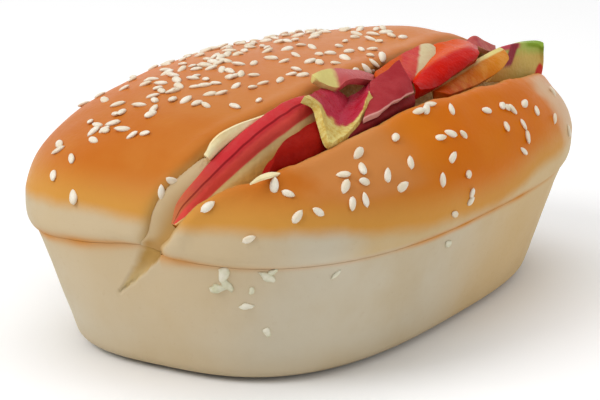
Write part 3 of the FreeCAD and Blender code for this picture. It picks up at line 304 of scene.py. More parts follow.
def baked_finish(name):
    coat = Finish(name, 0.022, 0.0011, 0.4)
    height = coat.calc("MULTIPLY", coat.z, 1 / MM)
    border = put(coat.tree, "ShaderNodeMapRange", {"Value": coat.x, "From Min": -0.070, "From Max": -0.010,
                                                   "To Min": 0.0, "To Max": 6.5}).outputs[0]
    border = coat.calc("MULTIPLY_ADD", coat.between(coat.x, -0.004, 0.032), -4.0, border)
    level = coat.calc("ADD", coat.shifted(height, 4.0), border)
    cream = coat.clouds((210, 199, 176), (204, 188, 158), 0.35, 0.7)
    cream = coat.mix(coat.between(coat.x, -0.058, -0.071, 0.0, 0.7), cream, (210, 184, 142))
    cream = coat.mix(coat.between(coat.x, -0.03, 0.02, 0.0, 0.7), cream, (222, 188, 132))
    cream = coat.mix(coat.between(height, 9.0, 1.0, 0.0, 0.35), cream, (196, 168, 120))
    yellowed = coat.times(coat.between(coat.x, -0.058, -0.046), coat.between(coat.x, 0.004, -0.020),
                          coat.between(height, 26.6, 28.0, 0.0, 0.45))
    cream = coat.mix(yellowed, cream, (212, 172, 100))
    golden = coat.mix(coat.between(level, 32.6, 36.4), cream, (214, 152, 70))
    ripe = coat.clouds((198, 110, 34), (202, 122, 48), 0.35, 0.65)
    deep = coat.clouds((212, 110, 2), (216, 118, 6), 0.35, 0.65)
    brown = coat.mix(coat.between(coat.x, -0.055, -0.010), ripe, deep)
    # painted sheen: the top of the crown is mixed towards a paler pink-tan
    brown = coat.mix(coat.between(height, 50.0, 57.0, 0.0, 0.35), brown, (200, 152, 112))
    crust = coat.mix(coat.between(level, 35.5, 44.0), golden, brown)
    wander = coat.shifted(coat.x, 0.035)
    # painted highlight: a peach patch on the near side of the crust
    painted_highlight_patch = coat.times(coat.between(wander, -0.064, -0.055), coat.between(wander, -0.022, -0.037),
                        coat.between(coat.y, -0.018, -0.022), coat.between(height, 37.4, 39.8, 0.0, 0.85))
    crust = coat.mix(painted_highlight_patch, crust, (208, 136, 74))
    pale_end = coat.times(coat.between(wander, 0.034, 0.046, 0.0, 0.65), coat.between(coat.y, -0.029, -0.037))
    crust = coat.mix(pale_end, crust, (222, 202, 166))
    crust = coat.mix(coat.carried("toast"), crust, (214, 144, 62))
    broken = coat.mix(coat.between(height, 27.0, 18.0), (192, 152, 86), (234, 214, 164))
    crust = coat.mix(coat.carried("torn"), crust, broken)
    crust = coat.mix(coat.between(coat.grain, 0.62, 0.72, 0.0, 0.06), crust, (160, 110, 60))
    gloss = put(coat.tree, "ShaderNodeMix", {0: coat.between(level, 33.0, 39.0), 2: coat.grainy(0.52, 0.66),
                                             3: coat.grainy(0.32, 0.40)}, data_type="FLOAT").outputs[0]
    return coat.done(crust, 0.00005, {"Roughness": gloss, "Specular IOR Level": 0.04}, strength=0.6)


def crumb_finish(name):
    coat = Finish(name, 0.006, 0.0008, 0.7)
    shade = coat.clouds((206, 168, 104), (184, 132, 64))
    shade = coat.mix(coat.between(coat.grain, 0.5, 0.75), shade, (220, 194, 142))
    shade = coat.mix(coat.between(coat.x, -0.060, -0.068), shade, (186, 142, 74))
    shade = coat.mix(coat.carried("torn"), (202, 182, 146), shade)
    return coat.done(shade, 0.0004, height=coat.times(coat.height, coat.between(coat.x, -0.068, -0.060)))


baked, crumb = baked_finish("baked_crust"), crumb_finish("bread_crumb")
print("baked finishes ready")

# %% [markdown]
# ## Meshes from rings
# The bun's plan is a rounded oval whose sides are fuller than an ellipse. A ring is that oval at one
# height, and a stack of rings with matching columns is a clean grid, which shades without creases.

# %% Ring helpers
PLAN_POWER, TOP_POWER, DOME_POWER = 3.0, 2.0, 2.3
BASE_Z = 0.8
BASE_HALF, SEAM_HALF, BELLY_HALF = np.array([(62.0, 36.4), (70.0, 44.6), (72.5, 46.0)])


def oval(half, power, turns, height):
    """Points of a full-sided oval at one height."""
    across, along = np.cos(turns), np.sin(turns)
    x = half[0] * np.sign(across) * np.abs(across) ** (2 / power)
    y = half[1] * np.sign(along) * np.abs(along) ** (2 / power)
    return np.stack([x, y, np.full_like(x, height)], axis=-1)


def running(points):
    """The length of a line of points up to each of them."""
    return np.concatenate([[0], np.cumsum(np.linalg.norm(np.diff(points, axis=0), axis=1))])


def even_turns(count, fine_spot, fine_reach, fine_count):
    """Turns whose points lie evenly along the belly, with more of them near the torn end."""
    turns = np.linspace(0, 2 * math.pi, 20001)
    points = oval(BELLY_HALF, PLAN_POWER, turns, 0)
    run = running(points)
    weight = 1 + fine_count / count * run[-1] / (2 * fine_reach) * (
        (points[:, 0] < 0) & (np.abs(points[:, 1] - fine_spot) < fine_reach))
    filled = np.concatenate([[0], np.cumsum(np.diff(run) * weight[1:])])
    total = count + fine_count
    return np.interp(np.arange(total) / total * filled[-1], filled, turns)


def grid_faces(rows, columns, closed=True):
    """Quads of a stack of closed rings, facing outwards, or of an open sheet."""
    last = columns if closed else columns - 1
    row, column = np.meshgrid(np.arange(rows - 1), np.arange(last), indexing="ij")
    after = (column + 1) % columns
    quads = np.stack([row * columns + column, row * columns + after,
                      (row + 1) * columns + after, (row + 1) * columns + column], axis=-1)
    return quads.reshape(-1, 4)


def cells_within(mask):
    """The cells of a stack of rings whose four corners are all in a mask."""
    both = mask & np.roll(mask, -1, axis=1)
    return both[:-1] & both[1:]


def used_only(faces, total):
    """The points that some faces use, and the faces renumbered to those points alone."""
    used = np.unique(np.concatenate([np.ravel(face) for face in faces]))
    renumber = np.full(total, -1)
    renumber[used] = np.arange(len(used))
    return used, [renumber[list(face)].tolist() for face in faces]


def unit(ways):
    return ways / np.maximum(np.linalg.norm(ways, axis=-1, keepdims=True), 1e-9)


def outward(grid, away, reach=0.6):
    """Outward directions on a stack of rings, level within a short reach of the parting line."""
    around = np.roll(grid, -1, axis=1) - np.roll(grid, 1, axis=1)
    level = np.stack([around[..., 1], -around[..., 0], np.zeros(grid.shape[:2])], axis=-1)
    facing = np.cross(around, np.gradient(grid, axis=0))
    return np.where((np.abs(away) < reach)[..., None], unit(level), unit(facing))


def swell(points, size, seed):
    """Slow random values between about -1 and 1, one for each point."""
    flat = points.reshape(-1, 3) / size + seed
    return np.array([noise.noise(Vector(p)) for p in flat]).reshape(points.shape[:-1])


def smooth_step(value, low, high):
    share = np.clip((value - low) / (high - low), 0, 1)
    return share * share * (3 - 2 * share)


def bell(value, width):
    return np.exp(-(value / width) ** 2)


def read_off(table, places):
    """Values of a table of (place, value) rows at some places."""
    return np.interp(places, *np.array(table).T)


print("ring helpers ready")


# %% Piece helpers
def new_piece(name, points, faces, *materials, values=None):
    """A smooth mesh object from millimetre points, with one value per point for each named attribute."""
    mesh = bpy.data.meshes.new(name)
    mesh.from_pydata((np.asarray(points) * MM).tolist(), [], [list(map(int, face)) for face in faces])
    for material in materials:
        mesh.materials.append(material)
    for label, numbers in (values or {}).items():
        carried = mesh.attributes.new(label, "FLOAT", "POINT")
        carried.data.foreach_set("value", np.asarray(numbers, dtype=np.float32))
    mesh.shade_smooth()
    return shown(name, mesh)


def solid_mesh(piece):
    """A piece's mesh as its modifiers leave it."""
    return bpy.data.meshes.new_from_object(piece.evaluated_get(bpy.context.evaluated_depsgraph_get()))


def settle(piece):
    """Turns a piece with modifiers into a plain mesh."""
    mesh = solid_mesh(piece)
    piece.modifiers.clear()
    piece.data = mesh
    mesh.name = piece.name


def thicken(piece, thickness, offset, **settings):
    wall = piece.modifiers.new("wall", "SOLIDIFY")
    wall.thickness, wall.offset = thickness * MM, offset
    for key, value in settings.items():
        setattr(wall, key, value)


def spots_of(piece):
    """A piece's points, in metres."""
    spots = np.empty(len(piece.data.vertices) * 3, dtype=np.float32)
    piece.data.vertices.foreach_get("co", spots)
    return spots.reshape(-1, 3)


def move_to(piece, spots):
    piece.data.vertices.foreach_set("co", spots.astype(np.float32).ravel())


def face_out(piece):
    shape = bmesh.new()
    shape.from_mesh(piece.data)
    bmesh.ops.recalc_face_normals(shape, faces=shape.faces)
    shape.to_mesh(piece.data)
    shape.free()


def map_sheet(piece, places):
    """Gives a piece its own map, from one place for each point."""
    layer = piece.data.uv_layers.new(name="sheet")
    corner = np.zeros(len(piece.data.loops), dtype=int)
    piece.data.loops.foreach_get("vertex_index", corner)
    layer.data.foreach_set("uv", places[corner].ravel())


COLUMNS, TEAR_Y, TEAR_REACH, TEAR_COLUMNS = 380, -2.0, 14.0, 60
turns = even_turns(COLUMNS, TEAR_Y, TEAR_REACH, TEAR_COLUMNS)
column_count = len(turns)
print("rings have", column_count, "columns")

# %% [markdown]
# ## The tear
# Below the slit the crust has torn down the near end: wide at the parting line, closing to a point in the
# tub. Its left side slopes in softly and its right side is a ragged step, so the groove's depth rises at
# once from the right and fades to the left.

# %% Tear
NEAR_END_X = -40.0
TEAR_PATH = ((32.0, -6.4, 3.0), (28.4, -3.9, 2.9), (26.5, -2.7, 2.7), (23.4, -0.1, 1.8), (20.6, 2.5, 1.2),
             (18.2, 5.2, 0.55), (16.7, 7.2, 0.05))
TEAR_DEPTH, TEAR_END_Z = 1.25, TEAR_PATH[-1][0]


def tear_share(points):
    """How deep in the tear each point is, from 0 outside to 1 at its deepest."""
    height, middle, half = np.array(TEAR_PATH)[::-1].T
    middle, half = (np.interp(points[..., 2], height, column) for column in (middle, half))
    ragged = 0.35 * swell(points, 1.1, 7.0) + 0.25 * swell(points, 3.0, 3.0)
    across = (points[..., 1] - middle + ragged * np.minimum(half, 1)) / np.maximum(half, 0.02)
    step = smooth_step(across, -1.08, -0.82)
    slope = 1 - smooth_step(across, -0.2, 1.15)
    within = (points[..., 0] < NEAR_END_X) * (points[..., 2] > TEAR_END_Z)
    return smooth_step(half, 0.05, 0.5) * step * slope * within


print("tear is", TEAR_PATH[2][2] * 2, "mm wide at the parting line")

# %% [markdown]
# ## The parting line
# Left of the tear the line climbs, and right of it it curls up a little, so it isn't flat across the near
# end. Both shells are lifted by the same amount there and still meet. The line itself is toasted: at the near
# end strongest beside the tear, and along the side strongest at its middle.

# %% Parting line
LINE_LIFT = ((-22.0, 0.0), (-14.6, 0.3), (-10.0, 0.6), (-7.3, 1.0), (-5.0, 1.5), (-1.5, 2.7), (2.7, 2.4),
             (6.7, 1.7), (12.0, 1.0), (17.5, 0.5), (23.5, -0.2), (30.0, -1.0), (40.0, -1.1), (44.0, -0.6))
END_TOAST = ((-46.0, 0.45, 0.55), (-40.0, 0.35, 0.55), (-30.0, 0.30, 0.6), (-18.0, 0.45, 0.7),
             (-10.0, 0.9, 1.2), (-6.0, 1.0, 1.7), (-4.0, 0.2, 0.5), (-1.0, 0.4, 0.8), (6.0, 0.8, 1.2),
             (14.0, 0.95, 1.4), (24.0, 0.9, 1.3), (46.0, 0.5, 0.9))
SIDE_TOAST = ((-40.0, 0.45, 0.55), (-30.0, 0.95, 0.75), (12.0, 1.0, 0.8), (24.0, 0.5, 0.6), (40.0, 0.25, 0.5))
LIFT_REACH, LIFT_FADE_X, TAPER = 11.5, -58.0, 0.31


def line_lift(points):
    """How far the parting line is lifted at each point's place."""
    return read_off(LINE_LIFT, points[..., 1]) * (1 - smooth_step(points[..., 0], LIFT_FADE_X, NEAR_END_X))


def trimmed(piece):
    """Brings whatever hangs below the parting line at the near end back up to the line."""
    spots = spots_of(piece)
    line = (RIM_Z + line_lift(spots / MM)) * MM
    spots[:, 2] = np.where(spots[:, 0] < NEAR_END_X * MM, np.maximum(spots[:, 2], line), spots[:, 2])
    move_to(piece, spots)


def lifted(grid):
    """Lifts the near end of a shell towards its parting line, and widens it as the taper would."""
    lift = line_lift(grid) * np.clip(1 - np.abs(grid[..., 2] - SEAM_Z) / LIFT_REACH, 0, 1)
    moved = grid.copy()
    moved[..., 0] -= TAPER * lift
    moved[..., 2] += lift
    return moved


def line_toast(grid, away):
    """How toasted each point is, from its distance to the parting line."""
    end, side = np.array(END_TOAST).T, np.array(SIDE_TOAST).T
    strength, width = (np.where(grid[..., 0] < NEAR_END_X, np.interp(grid[..., 1], end[0], end[k]),
                                np.interp(grid[..., 0], side[0], side[k])) for k in (1, 2))
    patchy = np.clip(0.85 + 0.5 * swell(grid, 9.0, 8.0), 0.3, 1.15)
    return np.clip(strength * patchy * bell(away, width), 0, 1)


print("the line climbs", max(lift for _, lift in LINE_LIFT), "mm beside the tear")

# %% [markdown]
# ## Tub
# The cream tub is one closed ring of wall: outside, rounded rim, inside and foot. The hinge barrels and their
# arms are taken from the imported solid, so that they meet the pin exactly. The arms are cut off just outside
# the wall and carried on into it. Windows for the jack and the two switches are cut where those parts are.

# %% Tub
FOOT_ROUND, RIM_ROUND, WALL, RIM_STEP, PLATE_SEAT = 2.4, 0.07, 2.4, 0.3, 0.12
SIDE_FROM, SIDE_FINE, INSIDE_FOOT, LEDGE_Z = 3.8, 17.0, 4.8, 4.6


def tub_half(height):
    """Half length and half width of the tub at one height."""
    return BASE_HALF + (SEAM_HALF - BASE_HALF) * (height - BASE_Z) / (SEAM_Z - BASE_Z)


plate_half = tub_half(BASE_Z) - (BASE_HALF[0] - span("base_plate")[1].x) + PLATE_SEAT
rows = [(BASE_Z, plate_half)]
for angle in np.radians(np.linspace(0, 90, 8)):
    height = BASE_Z + FOOT_ROUND * (1 - math.cos(angle))
    rows.append((height, tub_half(height) - FOOT_ROUND * (1 - math.sin(angle))))
for height in np.concatenate([np.linspace(SIDE_FROM, SIDE_FINE - 0.2, 18),
                              np.linspace(SIDE_FINE + 0.2, SEAM_Z - RIM_ROUND, 26)]):
    rows.append((height, tub_half(height)))
for angle in np.radians(np.linspace(20, 90, 5)):
    height = SEAM_Z - RIM_ROUND * (1 - math.sin(angle))
    rows.append((height, tub_half(height) - RIM_ROUND * (1 - math.cos(angle))))
outside_rows = len(rows)
rows.append((SEAM_Z, tub_half(SEAM_Z) - WALL + RIM_STEP))
rows += [(height, tub_half(height) - WALL) for height in np.linspace(SEAM_Z - RIM_STEP, INSIDE_FOOT, 8)]
rows += [(LEDGE_Z, plate_half), rows[0]]
tub_grid = np.stack([oval(half, PLAN_POWER, turns, height) for height, half in rows])
below_line = SEAM_Z - tub_grid[..., 2]
tub_grid[:outside_rows] = lifted(tub_grid[:outside_rows])
tub_normals = outward(tub_grid, below_line)
skin = slice(1, outside_rows)
outside, below_skin = tub_grid[skin], below_line[skin]
share = tear_share(outside)
wave = 0.22 * swell(outside, 16.0, 2.0) + 0.10 * swell(outside, 5.0, 5.0)
wave *= smooth_step(outside[..., 2], 2.0, 8.0) * smooth_step(below_skin, 0.5, 4.5)
depth, torn, toast = np.zeros((3,) + tub_grid.shape[:2])
depth[skin] = wave - TEAR_DEPTH * share
torn[skin] = np.clip(share * 1.6, 0, 1)
toast[skin] = line_toast(outside, below_skin)
ring_total = len(rows) - 1
tub_points = (tub_grid + tub_normals * depth[..., None])[:ring_total]
tub = new_piece("bun_tub", tub_points.reshape(-1, 3),
                grid_faces(ring_total + 1, column_count) % (ring_total * column_count), baked,
                values={"torn": torn[:ring_total].ravel(), "toast": toast[:ring_total].ravel()})
print("tub has", len(tub.data.polygons), "faces")

# %% Windows and hinge arms
WINDOW_GAP, SLIDER_TRAVEL = Vector((0.15, 0.15, 0.15)), 4.0
JACK_WALL, SWITCH_WALL = (50, 90), (30, 60)
ARM_SINK, TUB_ARM_CUT, CROWN_ARM_CUT = 0.8, 44.75, 46.25
TUB_LEAN = (SEAM_HALF[1] - BASE_HALF[1]) / (SEAM_Z - BASE_Z)


def window(piece, name, low, high):
    """Cuts a box out of a piece."""
    mesh = bpy.data.meshes.new(name)
    box = bmesh.new()
    bmesh.ops.create_cube(box, size=1)
    place = Matrix.LocRotScale((low + high) / 2 * MM, None, (high - low) * MM)
    bmesh.ops.transform(box, matrix=place, verts=box.verts)
    box.to_mesh(mesh)
    box.free()
    tool = shown(name, mesh)
    change = piece.modifiers.new(name, "BOOLEAN")
    change.object, change.operation, change.solver = tool, "DIFFERENCE", "EXACT"
    settle(piece)
    bpy.data.objects.remove(tool)


def hinge_side(piece, node, wall_y, lean, half_at):
    """Adds the hinge arms of a packed shell, cut off outside its wall and carried on into the dressed one."""
    part = bmesh.new()
    part.from_mesh(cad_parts[node].data)
    bmesh.ops.remove_doubles(part, verts=part.verts, dist=1e-6)
    bmesh.ops.bisect_plane(part, geom=part.verts[:] + part.edges[:] + part.faces[:],
                           plane_co=(0, wall_y * MM, SEAM_Z * MM), plane_no=(0, 1, -lean), clear_inner=True)
    cut = [edge for edge in part.edges if edge.is_boundary]
    for item in bmesh.ops.extrude_edge_only(part, edges=cut)["geom"]:
        if isinstance(item, bmesh.types.BMVert):
            half = half_at(item.co.z / MM)
            wall = half[1] * (1 - abs(item.co.x / MM / half[0]) ** PLAN_POWER) ** (1 / PLAN_POWER)
            item.co.y = (wall - ARM_SINK) * MM
    bmesh.ops.holes_fill(part, edges=[edge for edge in part.edges if edge.is_boundary], sides=0)
    bmesh.ops.recalc_face_normals(part, faces=part.faces[:])
    for face in part.faces:
        face.material_index, face.smooth = 0, False
    arms = bpy.data.meshes.new(node + "_arms")
    part.to_mesh(arms)
    part.clear()
    part.from_mesh(piece.data)
    part.from_mesh(arms)
    part.to_mesh(piece.data)
    part.free()
    bpy.data.meshes.remove(arms)


low, high = span("line_jack")
low, high = low - WINDOW_GAP, high + WINDOW_GAP
low.x, high.x = JACK_WALL
window(tub, "jack_window", low, high)
for slider in ("ringer_slider", "tone_slider"):
    low, high = span(slider)
    low, high = low - WINDOW_GAP, high + WINDOW_GAP + Vector((SLIDER_TRAVEL, 0, 0))
    low.y, high.y = SWITCH_WALL
    window(tub, slider + "_window", low, high)
hinge_side(tub, "lower_shell", TUB_ARM_CUT, TUB_LEAN, tub_half)
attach(tub, "base")
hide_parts("lower_shell")
print("tub with windows and arms has", len(tub.data.polygons), "faces")

# %% [markdown]
# ## Crown
# The crown is a dome of rings from the parting line up, with a low hump near its far end. Its slit is found
# by sweeping an angle from the far end over the top to the near end: at each angle the two lips lie at known
# distances from the middle. Cells inside the slit are dropped, and the cells on its edge are pulled to the
# lip, which then rolls in.

# %% Crown grid
SWEEP_Z, SLIT_LEAST = 20.0, 0.3
HUMP, HUMP_PLACE, HUMP_REACH = 2.2, (36.0, -6.0), (15.0, 14.0)
RING_STEP, MEAN_HALF = 0.9, 59.0
RIM_INSETS = {RIM_Z: 0.06, RIM_Z + 0.06: 0.02, RIM_Z + 0.2: 0.0, RIM_Z + 0.45: 0.0}
FAR_LIP = ((-69.0, -1.6, 25.0), (-71.0, -3.4, 28.4), (-72.3, -5.0, 32.3), (-72.0, -5.7, 37.2),
           (-70.1, -7.2, 41.2), (-65.5, -9.9, 45.1), (-61.2, -11.0, 47.4), (-54.9, -12.8, 49.8),
           (-46.9, -14.8, 51.7), (-35.9, -16.8, 53.5), (0.0, -17.6, 55.0), (25.0, -17.0, 54.2),
           (45.0, -16.2, 51.0), (57.0, -16.6, 47.4), (63.0, -18.4, 43.5), (66.0, -21.0, 40.0),
           (70.0, -21.0, 35.0))
NEAR_LIP = ((-69.0, -4.6, 25.0), (-70.8, -6.2, 28.4), (-72.1, -9.0, 32.2), (-71.4, -12.7, 37.5),
            (-68.4, -16.8, 41.1), (-62.1, -23.6, 43.6), (-53.8, -27.6, 46.0), (-44.6, -30.2, 47.9),
            (-33.2, -31.8, 49.6), (-4.5, -34.1, 50.9), (21.8, -34.6, 49.7), (38.6, -33.1, 47.9),
            (50.0, -30.0, 46.0), (58.0, -26.8, 44.0), (63.0, -23.6, 41.8), (66.0, -21.2, 39.8),
            (70.0, -21.2, 35.0))


def sweep(points):
    return np.degrees(np.arctan2(points[..., 2] - SWEEP_Z, points[..., 0]))


def lip_line(lip):
    """The lip's distance from the middle at every half degree of the sweep, smoothed."""
    marks = np.array(lip)
    order = np.argsort(sweep(marks))
    angles = np.arange(-10, 190.01, 0.5)
    place = np.interp(angles, sweep(marks)[order], marks[order, 1])
    kernel = bell(np.arange(-6, 7), 2.5)
    return angles, np.convolve(np.pad(place, 6, mode="edge"), kernel / kernel.sum(), mode="valid")


far_line, near_line = lip_line(FAR_LIP), lip_line(NEAR_LIP)


def slit_bounds(points):
    """Distances of the near and the far lip from the middle, for each point's sweep angle."""
    angle = sweep(points)
    near, far = np.interp(angle, *near_line), np.interp(angle, *far_line)
    ragged = 0.30 * swell(points, 2.6, 11.0) + 0.55 * swell(points, 7.0, 4.0)
    return near + ragged * np.minimum(far - near, 4) / 4, far


def crown_half(height):
    """Half length and half width of the crown below its belly."""
    return BELLY_HALF - (BELLY_HALF - SEAM_HALF) * ((BELLY_Z - height) / (BELLY_Z - SEAM_Z)) ** 5


def crown_rows():
    """Height, half sizes and power of each ring."""
    stack = [(height, crown_half(height) - RIM_INSETS.get(height, 0.0), PLAN_POWER)
             for height in list(RIM_INSETS) + list(np.linspace(RIM_Z + RING_STEP, BELLY_Z, 15))]
    fine = np.linspace(0, math.pi / 2, 3001)[1:]
    rise, shrink = np.sin(fine) ** (2 / DOME_POWER), np.cos(fine) ** (2 / DOME_POWER)
    run = running(np.stack([MEAN_HALF * shrink, (CROWN_Z - BELLY_Z) * rise], axis=-1))
    for mark in np.arange(RING_STEP, run[-1] - 0.8, RING_STEP):
        risen, shrunk = np.interp(mark, run, rise), np.interp(mark, run, shrink)
        stack.append((BELLY_Z + (CROWN_Z - BELLY_Z) * risen, BELLY_HALF * shrunk,
                      PLAN_POWER + (TOP_POWER - PLAN_POWER) * risen))
    return stack


crown_grid = np.stack([oval(half, power, turns, height) for height, half, power in crown_rows()])
above_line = crown_grid[..., 2] - RIM_Z
crown_grid = lifted(crown_grid)
crown_normals = outward(crown_grid, above_line)
from_hump = (crown_grid[..., :2] - HUMP_PLACE) / HUMP_REACH
hump = HUMP * np.exp(-(from_hump ** 2).sum(axis=-1)) * (crown_grid[..., 2] > BELLY_Z)
crown_grid = crown_grid + crown_normals * hump[..., None]
near_y, far_y = slit_bounds(crown_grid)
slit_width = np.maximum(far_y - near_y, 0.01)
open_here = (crown_grid[..., 1] > near_y) & (crown_grid[..., 1] < far_y) & (slit_width > SLIT_LEAST)
print("crown grid", crown_grid.shape[:2], "cells in the slit", int(open_here.sum()))

# %% Crown mesh
CRUST_WALL, OFF_SLIT, SWELL_HIGH, SWELL_WIDE = 2.2, 9.0, 0.45, 24.0


def pulled_to_lip(grid, inside, near, far):
    """Moves each open point that borders the crust to where the grid lines cross the lip."""
    value = np.minimum(grid[..., 1] - near, far - grid[..., 1])
    total, count = np.zeros_like(grid), np.zeros(inside.shape)
    for down, side in ((d, s) for d in (-1, 0, 1) for s in (-1, 0, 1) if d or s):
        other, other_value, other_inside = (np.roll(np.roll(what, -down, axis=0), -side, axis=1)
                                            for what in (grid, value, inside))
        usable = inside & ~other_inside
        if down:
            usable[-1 if down == 1 else 0] = False
        part = np.clip(value / np.maximum(value - other_value, 1e-6), 0, 1)[..., None]
        total += np.where(usable[..., None], grid + (other - grid) * part, 0)
        count += usable
    border = count > 0
    moved = grid.copy()
    moved[border] = total[border] / count[border][:, None]
    return moved, border


def turned_back(piece, facing, thickness):
    """Turns back the few inner points that the thickening threw outwards at the ragged lip."""
    outer, inner = np.split(spots_of(piece), 2)
    thrown = ((inner - outer) * facing).sum(axis=-1) > 0
    inner[thrown] = outer[thrown] - facing[thrown] * thickness * MM
    move_to(piece, np.concatenate([outer, inner]))
    return int(thrown.sum())


moved, border = pulled_to_lip(crown_grid, open_here, near_y, far_y)
lip_gap = np.maximum(near_y - moved[..., 1], moved[..., 1] - far_y)
lip_gap = np.where(border | open_here, 0, np.maximum(lip_gap, 0))
lip_gap = np.where(slit_width > SLIT_LEAST, lip_gap, OFF_SLIT + lip_gap)
roll_in = 0.55 * bell(lip_gap - 2.6, 2.2) - 1.1 * bell(lip_gap, 0.7)
roll_in *= smooth_step(slit_width, 1.0, 5.0)
soft_lip = (1 - smooth_step(crown_grid[..., 0], -70.0, -64.0)) * (crown_grid[..., 1] > (near_y + far_y) / 2)
soft_roll = 0.9 * bell(lip_gap, 1.5) + 1.3 * bell(lip_gap, 0.5)
roll_in = roll_in * (1 - soft_lip) - soft_lip * soft_roll
soft = SWELL_HIGH * swell(crown_grid, SWELL_WIDE, 1.0) + 0.14 * swell(crown_grid, 7.0, 6.0)
soft *= smooth_step(above_line, 1.5, 6.5)
crown_points = moved + crown_normals * (roll_in + soft)[..., None]
keep = ~cells_within(open_here)
pole = crown_points[..., 0].size
last = pole - column_count
cap = [(last + c, last + (c + 1) % column_count, pole) for c in range(column_count)]
faces = grid_faces(len(crown_grid), column_count)[keep.ravel()].tolist() + cap
top = np.array([[0, 0, CROWN_Z]])
top = top + [[0, 0, SWELL_HIGH * swell(top, SWELL_WIDE, 1.0)[0]]]
used, faces = used_only(faces, pole + 1)
edge_value = bell(lip_gap, 0.8 + 0.9 * soft_lip) * smooth_step(slit_width, 0.5, 3.0)
crown = new_piece("bun_crown", np.concatenate([crown_points.reshape(-1, 3), top])[used], faces, baked, crumb,
                  values={"torn": np.append(edge_value, 0)[used] * 0.75,
                          "toast": np.append(line_toast(crown_grid, above_line), 0)[used]})
thicken(crown, CRUST_WALL, -1, use_even_offset=False, material_offset=1, material_offset_rim=1)
settle(crown)
outer_facing = np.concatenate([crown_normals.reshape(-1, 3), [[0, 0, 1]]])[used]
print("wall points turned back:", turned_back(crown, outer_facing, CRUST_WALL))
trimmed(crown)
hinge_side(crown, "crust_shell", CROWN_ARM_CUT, 0, crown_half)
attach(crown, "lid")
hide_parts("crust_shell")
print("crown has", len(crown.data.polygons), "faces")

# %% [markdown]
# ## Crumb in the slit
# Behind the slit lies the soft crumb. It is the crown's own surface, sunk: buried in the crust just past the
# lips, deep in the middle, and shallow again at the near end, where it comes flush with the tub's tear.

# %% Crumb trough
TROUGH_MARGIN, TROUGH_EDGE, TROUGH_WALL, FAR_SLOPE_TOP, TROUGH_FROM = 3.0, 1.3, 0.8, 0.95, 12
SLIT_DEPTH = ((-72.5, 3.0), (-70.5, 3.4), (-68.0, 4.4), (-64.0, 6.0), (-55.0, 9.0), (0.0, 12.0), (50.0, 10.0),
              (64.0, 5.0), (72.5, 3.0))
END_DEPTH = ((26.0, 1.2), (31.0, 1.25), (35.0, 1.8), (39.0, 3.0), (43.0, 5.5), (48.0, 10.0), (52.0, 12.0))
grid_x, grid_y, grid_z = np.moveaxis(crown_grid, -1, 0)
wide = (grid_y > near_y - TROUGH_MARGIN) & (grid_y < far_y + TROUGH_MARGIN)
wide &= sweep(crown_grid) > TROUGH_FROM
across = (grid_y - near_y + TROUGH_MARGIN) / (slit_width + 2 * TROUGH_MARGIN) * 2 - 1
deepest = read_off(SLIT_DEPTH, grid_x)
deepest = np.where(grid_x < 0, np.minimum(deepest, read_off(END_DEPTH, grid_z)), deepest)
sunk = TROUGH_EDGE + (deepest - TROUGH_EDGE) * (1 - np.clip(np.abs(across), 0, 1) ** 3)
sunk += 0.5 * swell(crown_grid, 4.0, 9.0) * smooth_step(deepest, 3.0, 8.0)
from_far = (far_y - grid_y) / slit_width
ramp = FAR_SLOPE_TOP + (deepest - FAR_SLOPE_TOP) * smooth_step(from_far, 0.0, 0.9)
ramp += 1.7 * smooth_step(-from_far * slit_width, 0.4, 1.6)
ramp += (TROUGH_EDGE - ramp) * smooth_step((from_far - 1) * slit_width, 0.2, 1.6)
near_end = 1 - smooth_step(grid_x, -64.0, -54.0)
sunk = sunk + (ramp - sunk) * near_end
end_share = tear_share(crown_grid)
flush = TEAR_DEPTH * end_share + 1.8 * (1 - smooth_step(end_share, 0.02, 0.12))
low_end = near_end * (1 - smooth_step(above_line, 1.0, 5.0))
sunk = sunk + (flush - sunk) * low_end
trough_torn = 1 - 0.65 * near_end * (1 - smooth_step(from_far, 0.0, 0.8))
trough_torn = trough_torn + (np.clip(1.6 * end_share, 0, 1) - trough_torn) * low_end
trough_points = (crown_grid - crown_normals * sunk[..., None]).reshape(-1, 3)
faces = grid_faces(len(crown_grid), column_count)[cells_within(wide).ravel()]
used, faces = used_only(faces, len(trough_points))
trough = new_piece("crumb_trough", trough_points[used], faces, crumb,
                   values={"torn": trough_torn.ravel()[used]})
thicken(trough, TROUGH_WALL, -1)
settle(trough)
trimmed(trough)
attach(trough, "lid")
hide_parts("filling_tray")
print("trough has", len(trough.data.polygons), "faces")

# %% [markdown]
# ## Filling
# The slices are thin moulded sheets with soft, wavy forms. Each is given by a few rows of marks: the pixel
# where a point of the slice is seen, and how far from the bun's middle line it lies. A smooth surface runs
# through the marks and gets its thickness. The rows go from the top edge down, so the sheet's own map
# tells the finish where its rim and its two ends are.

# %% Sheet helpers
def smooth_through(marks, count):
    """A smooth line of points through marks."""
    marks = np.asarray(marks, dtype=float)
    shape = (-1,) + (1,) * (marks.ndim - 1)
    if len(marks) == 2:
        return marks[0] + (marks[1] - marks[0]) * np.linspace(0, 1, count).reshape(shape)
    padded = np.concatenate([[2 * marks[0] - marks[1]], marks, [2 * marks[-1] - marks[-2]]])
    places = np.linspace(0, len(marks) - 1, count)
    index = np.minimum(places.astype(int), len(marks) - 2)
    t = (places - index).reshape(shape)
    a, b, c, d = (padded[index + k] for k in range(4))
    return b + 0.5 * t * (c - a + t * (2 * a - 5 * b + 4 * c - d + t * (3 * (b - c) + d - a)))


def glazed_finish(name, painter, roughness):
    """A moist, glossy finish whose colour a painter makes from the sheet's map and its unevenness."""
    coat = Finish(name, 0.004, 0.0009, roughness)
    flat = put(coat.tree, "ShaderNodeUVMap", uv_map="sheet")
    coat.along, coat.across, _ = put(coat.tree, "ShaderNodeSeparateXYZ", {0: flat.outputs[0]}).outputs
    return coat.done(painter(coat), 0.00012, {"Specular IOR Level": 0.02,
                                              "Roughness": coat.grainy(roughness * 0.8, roughness * 1.25)})


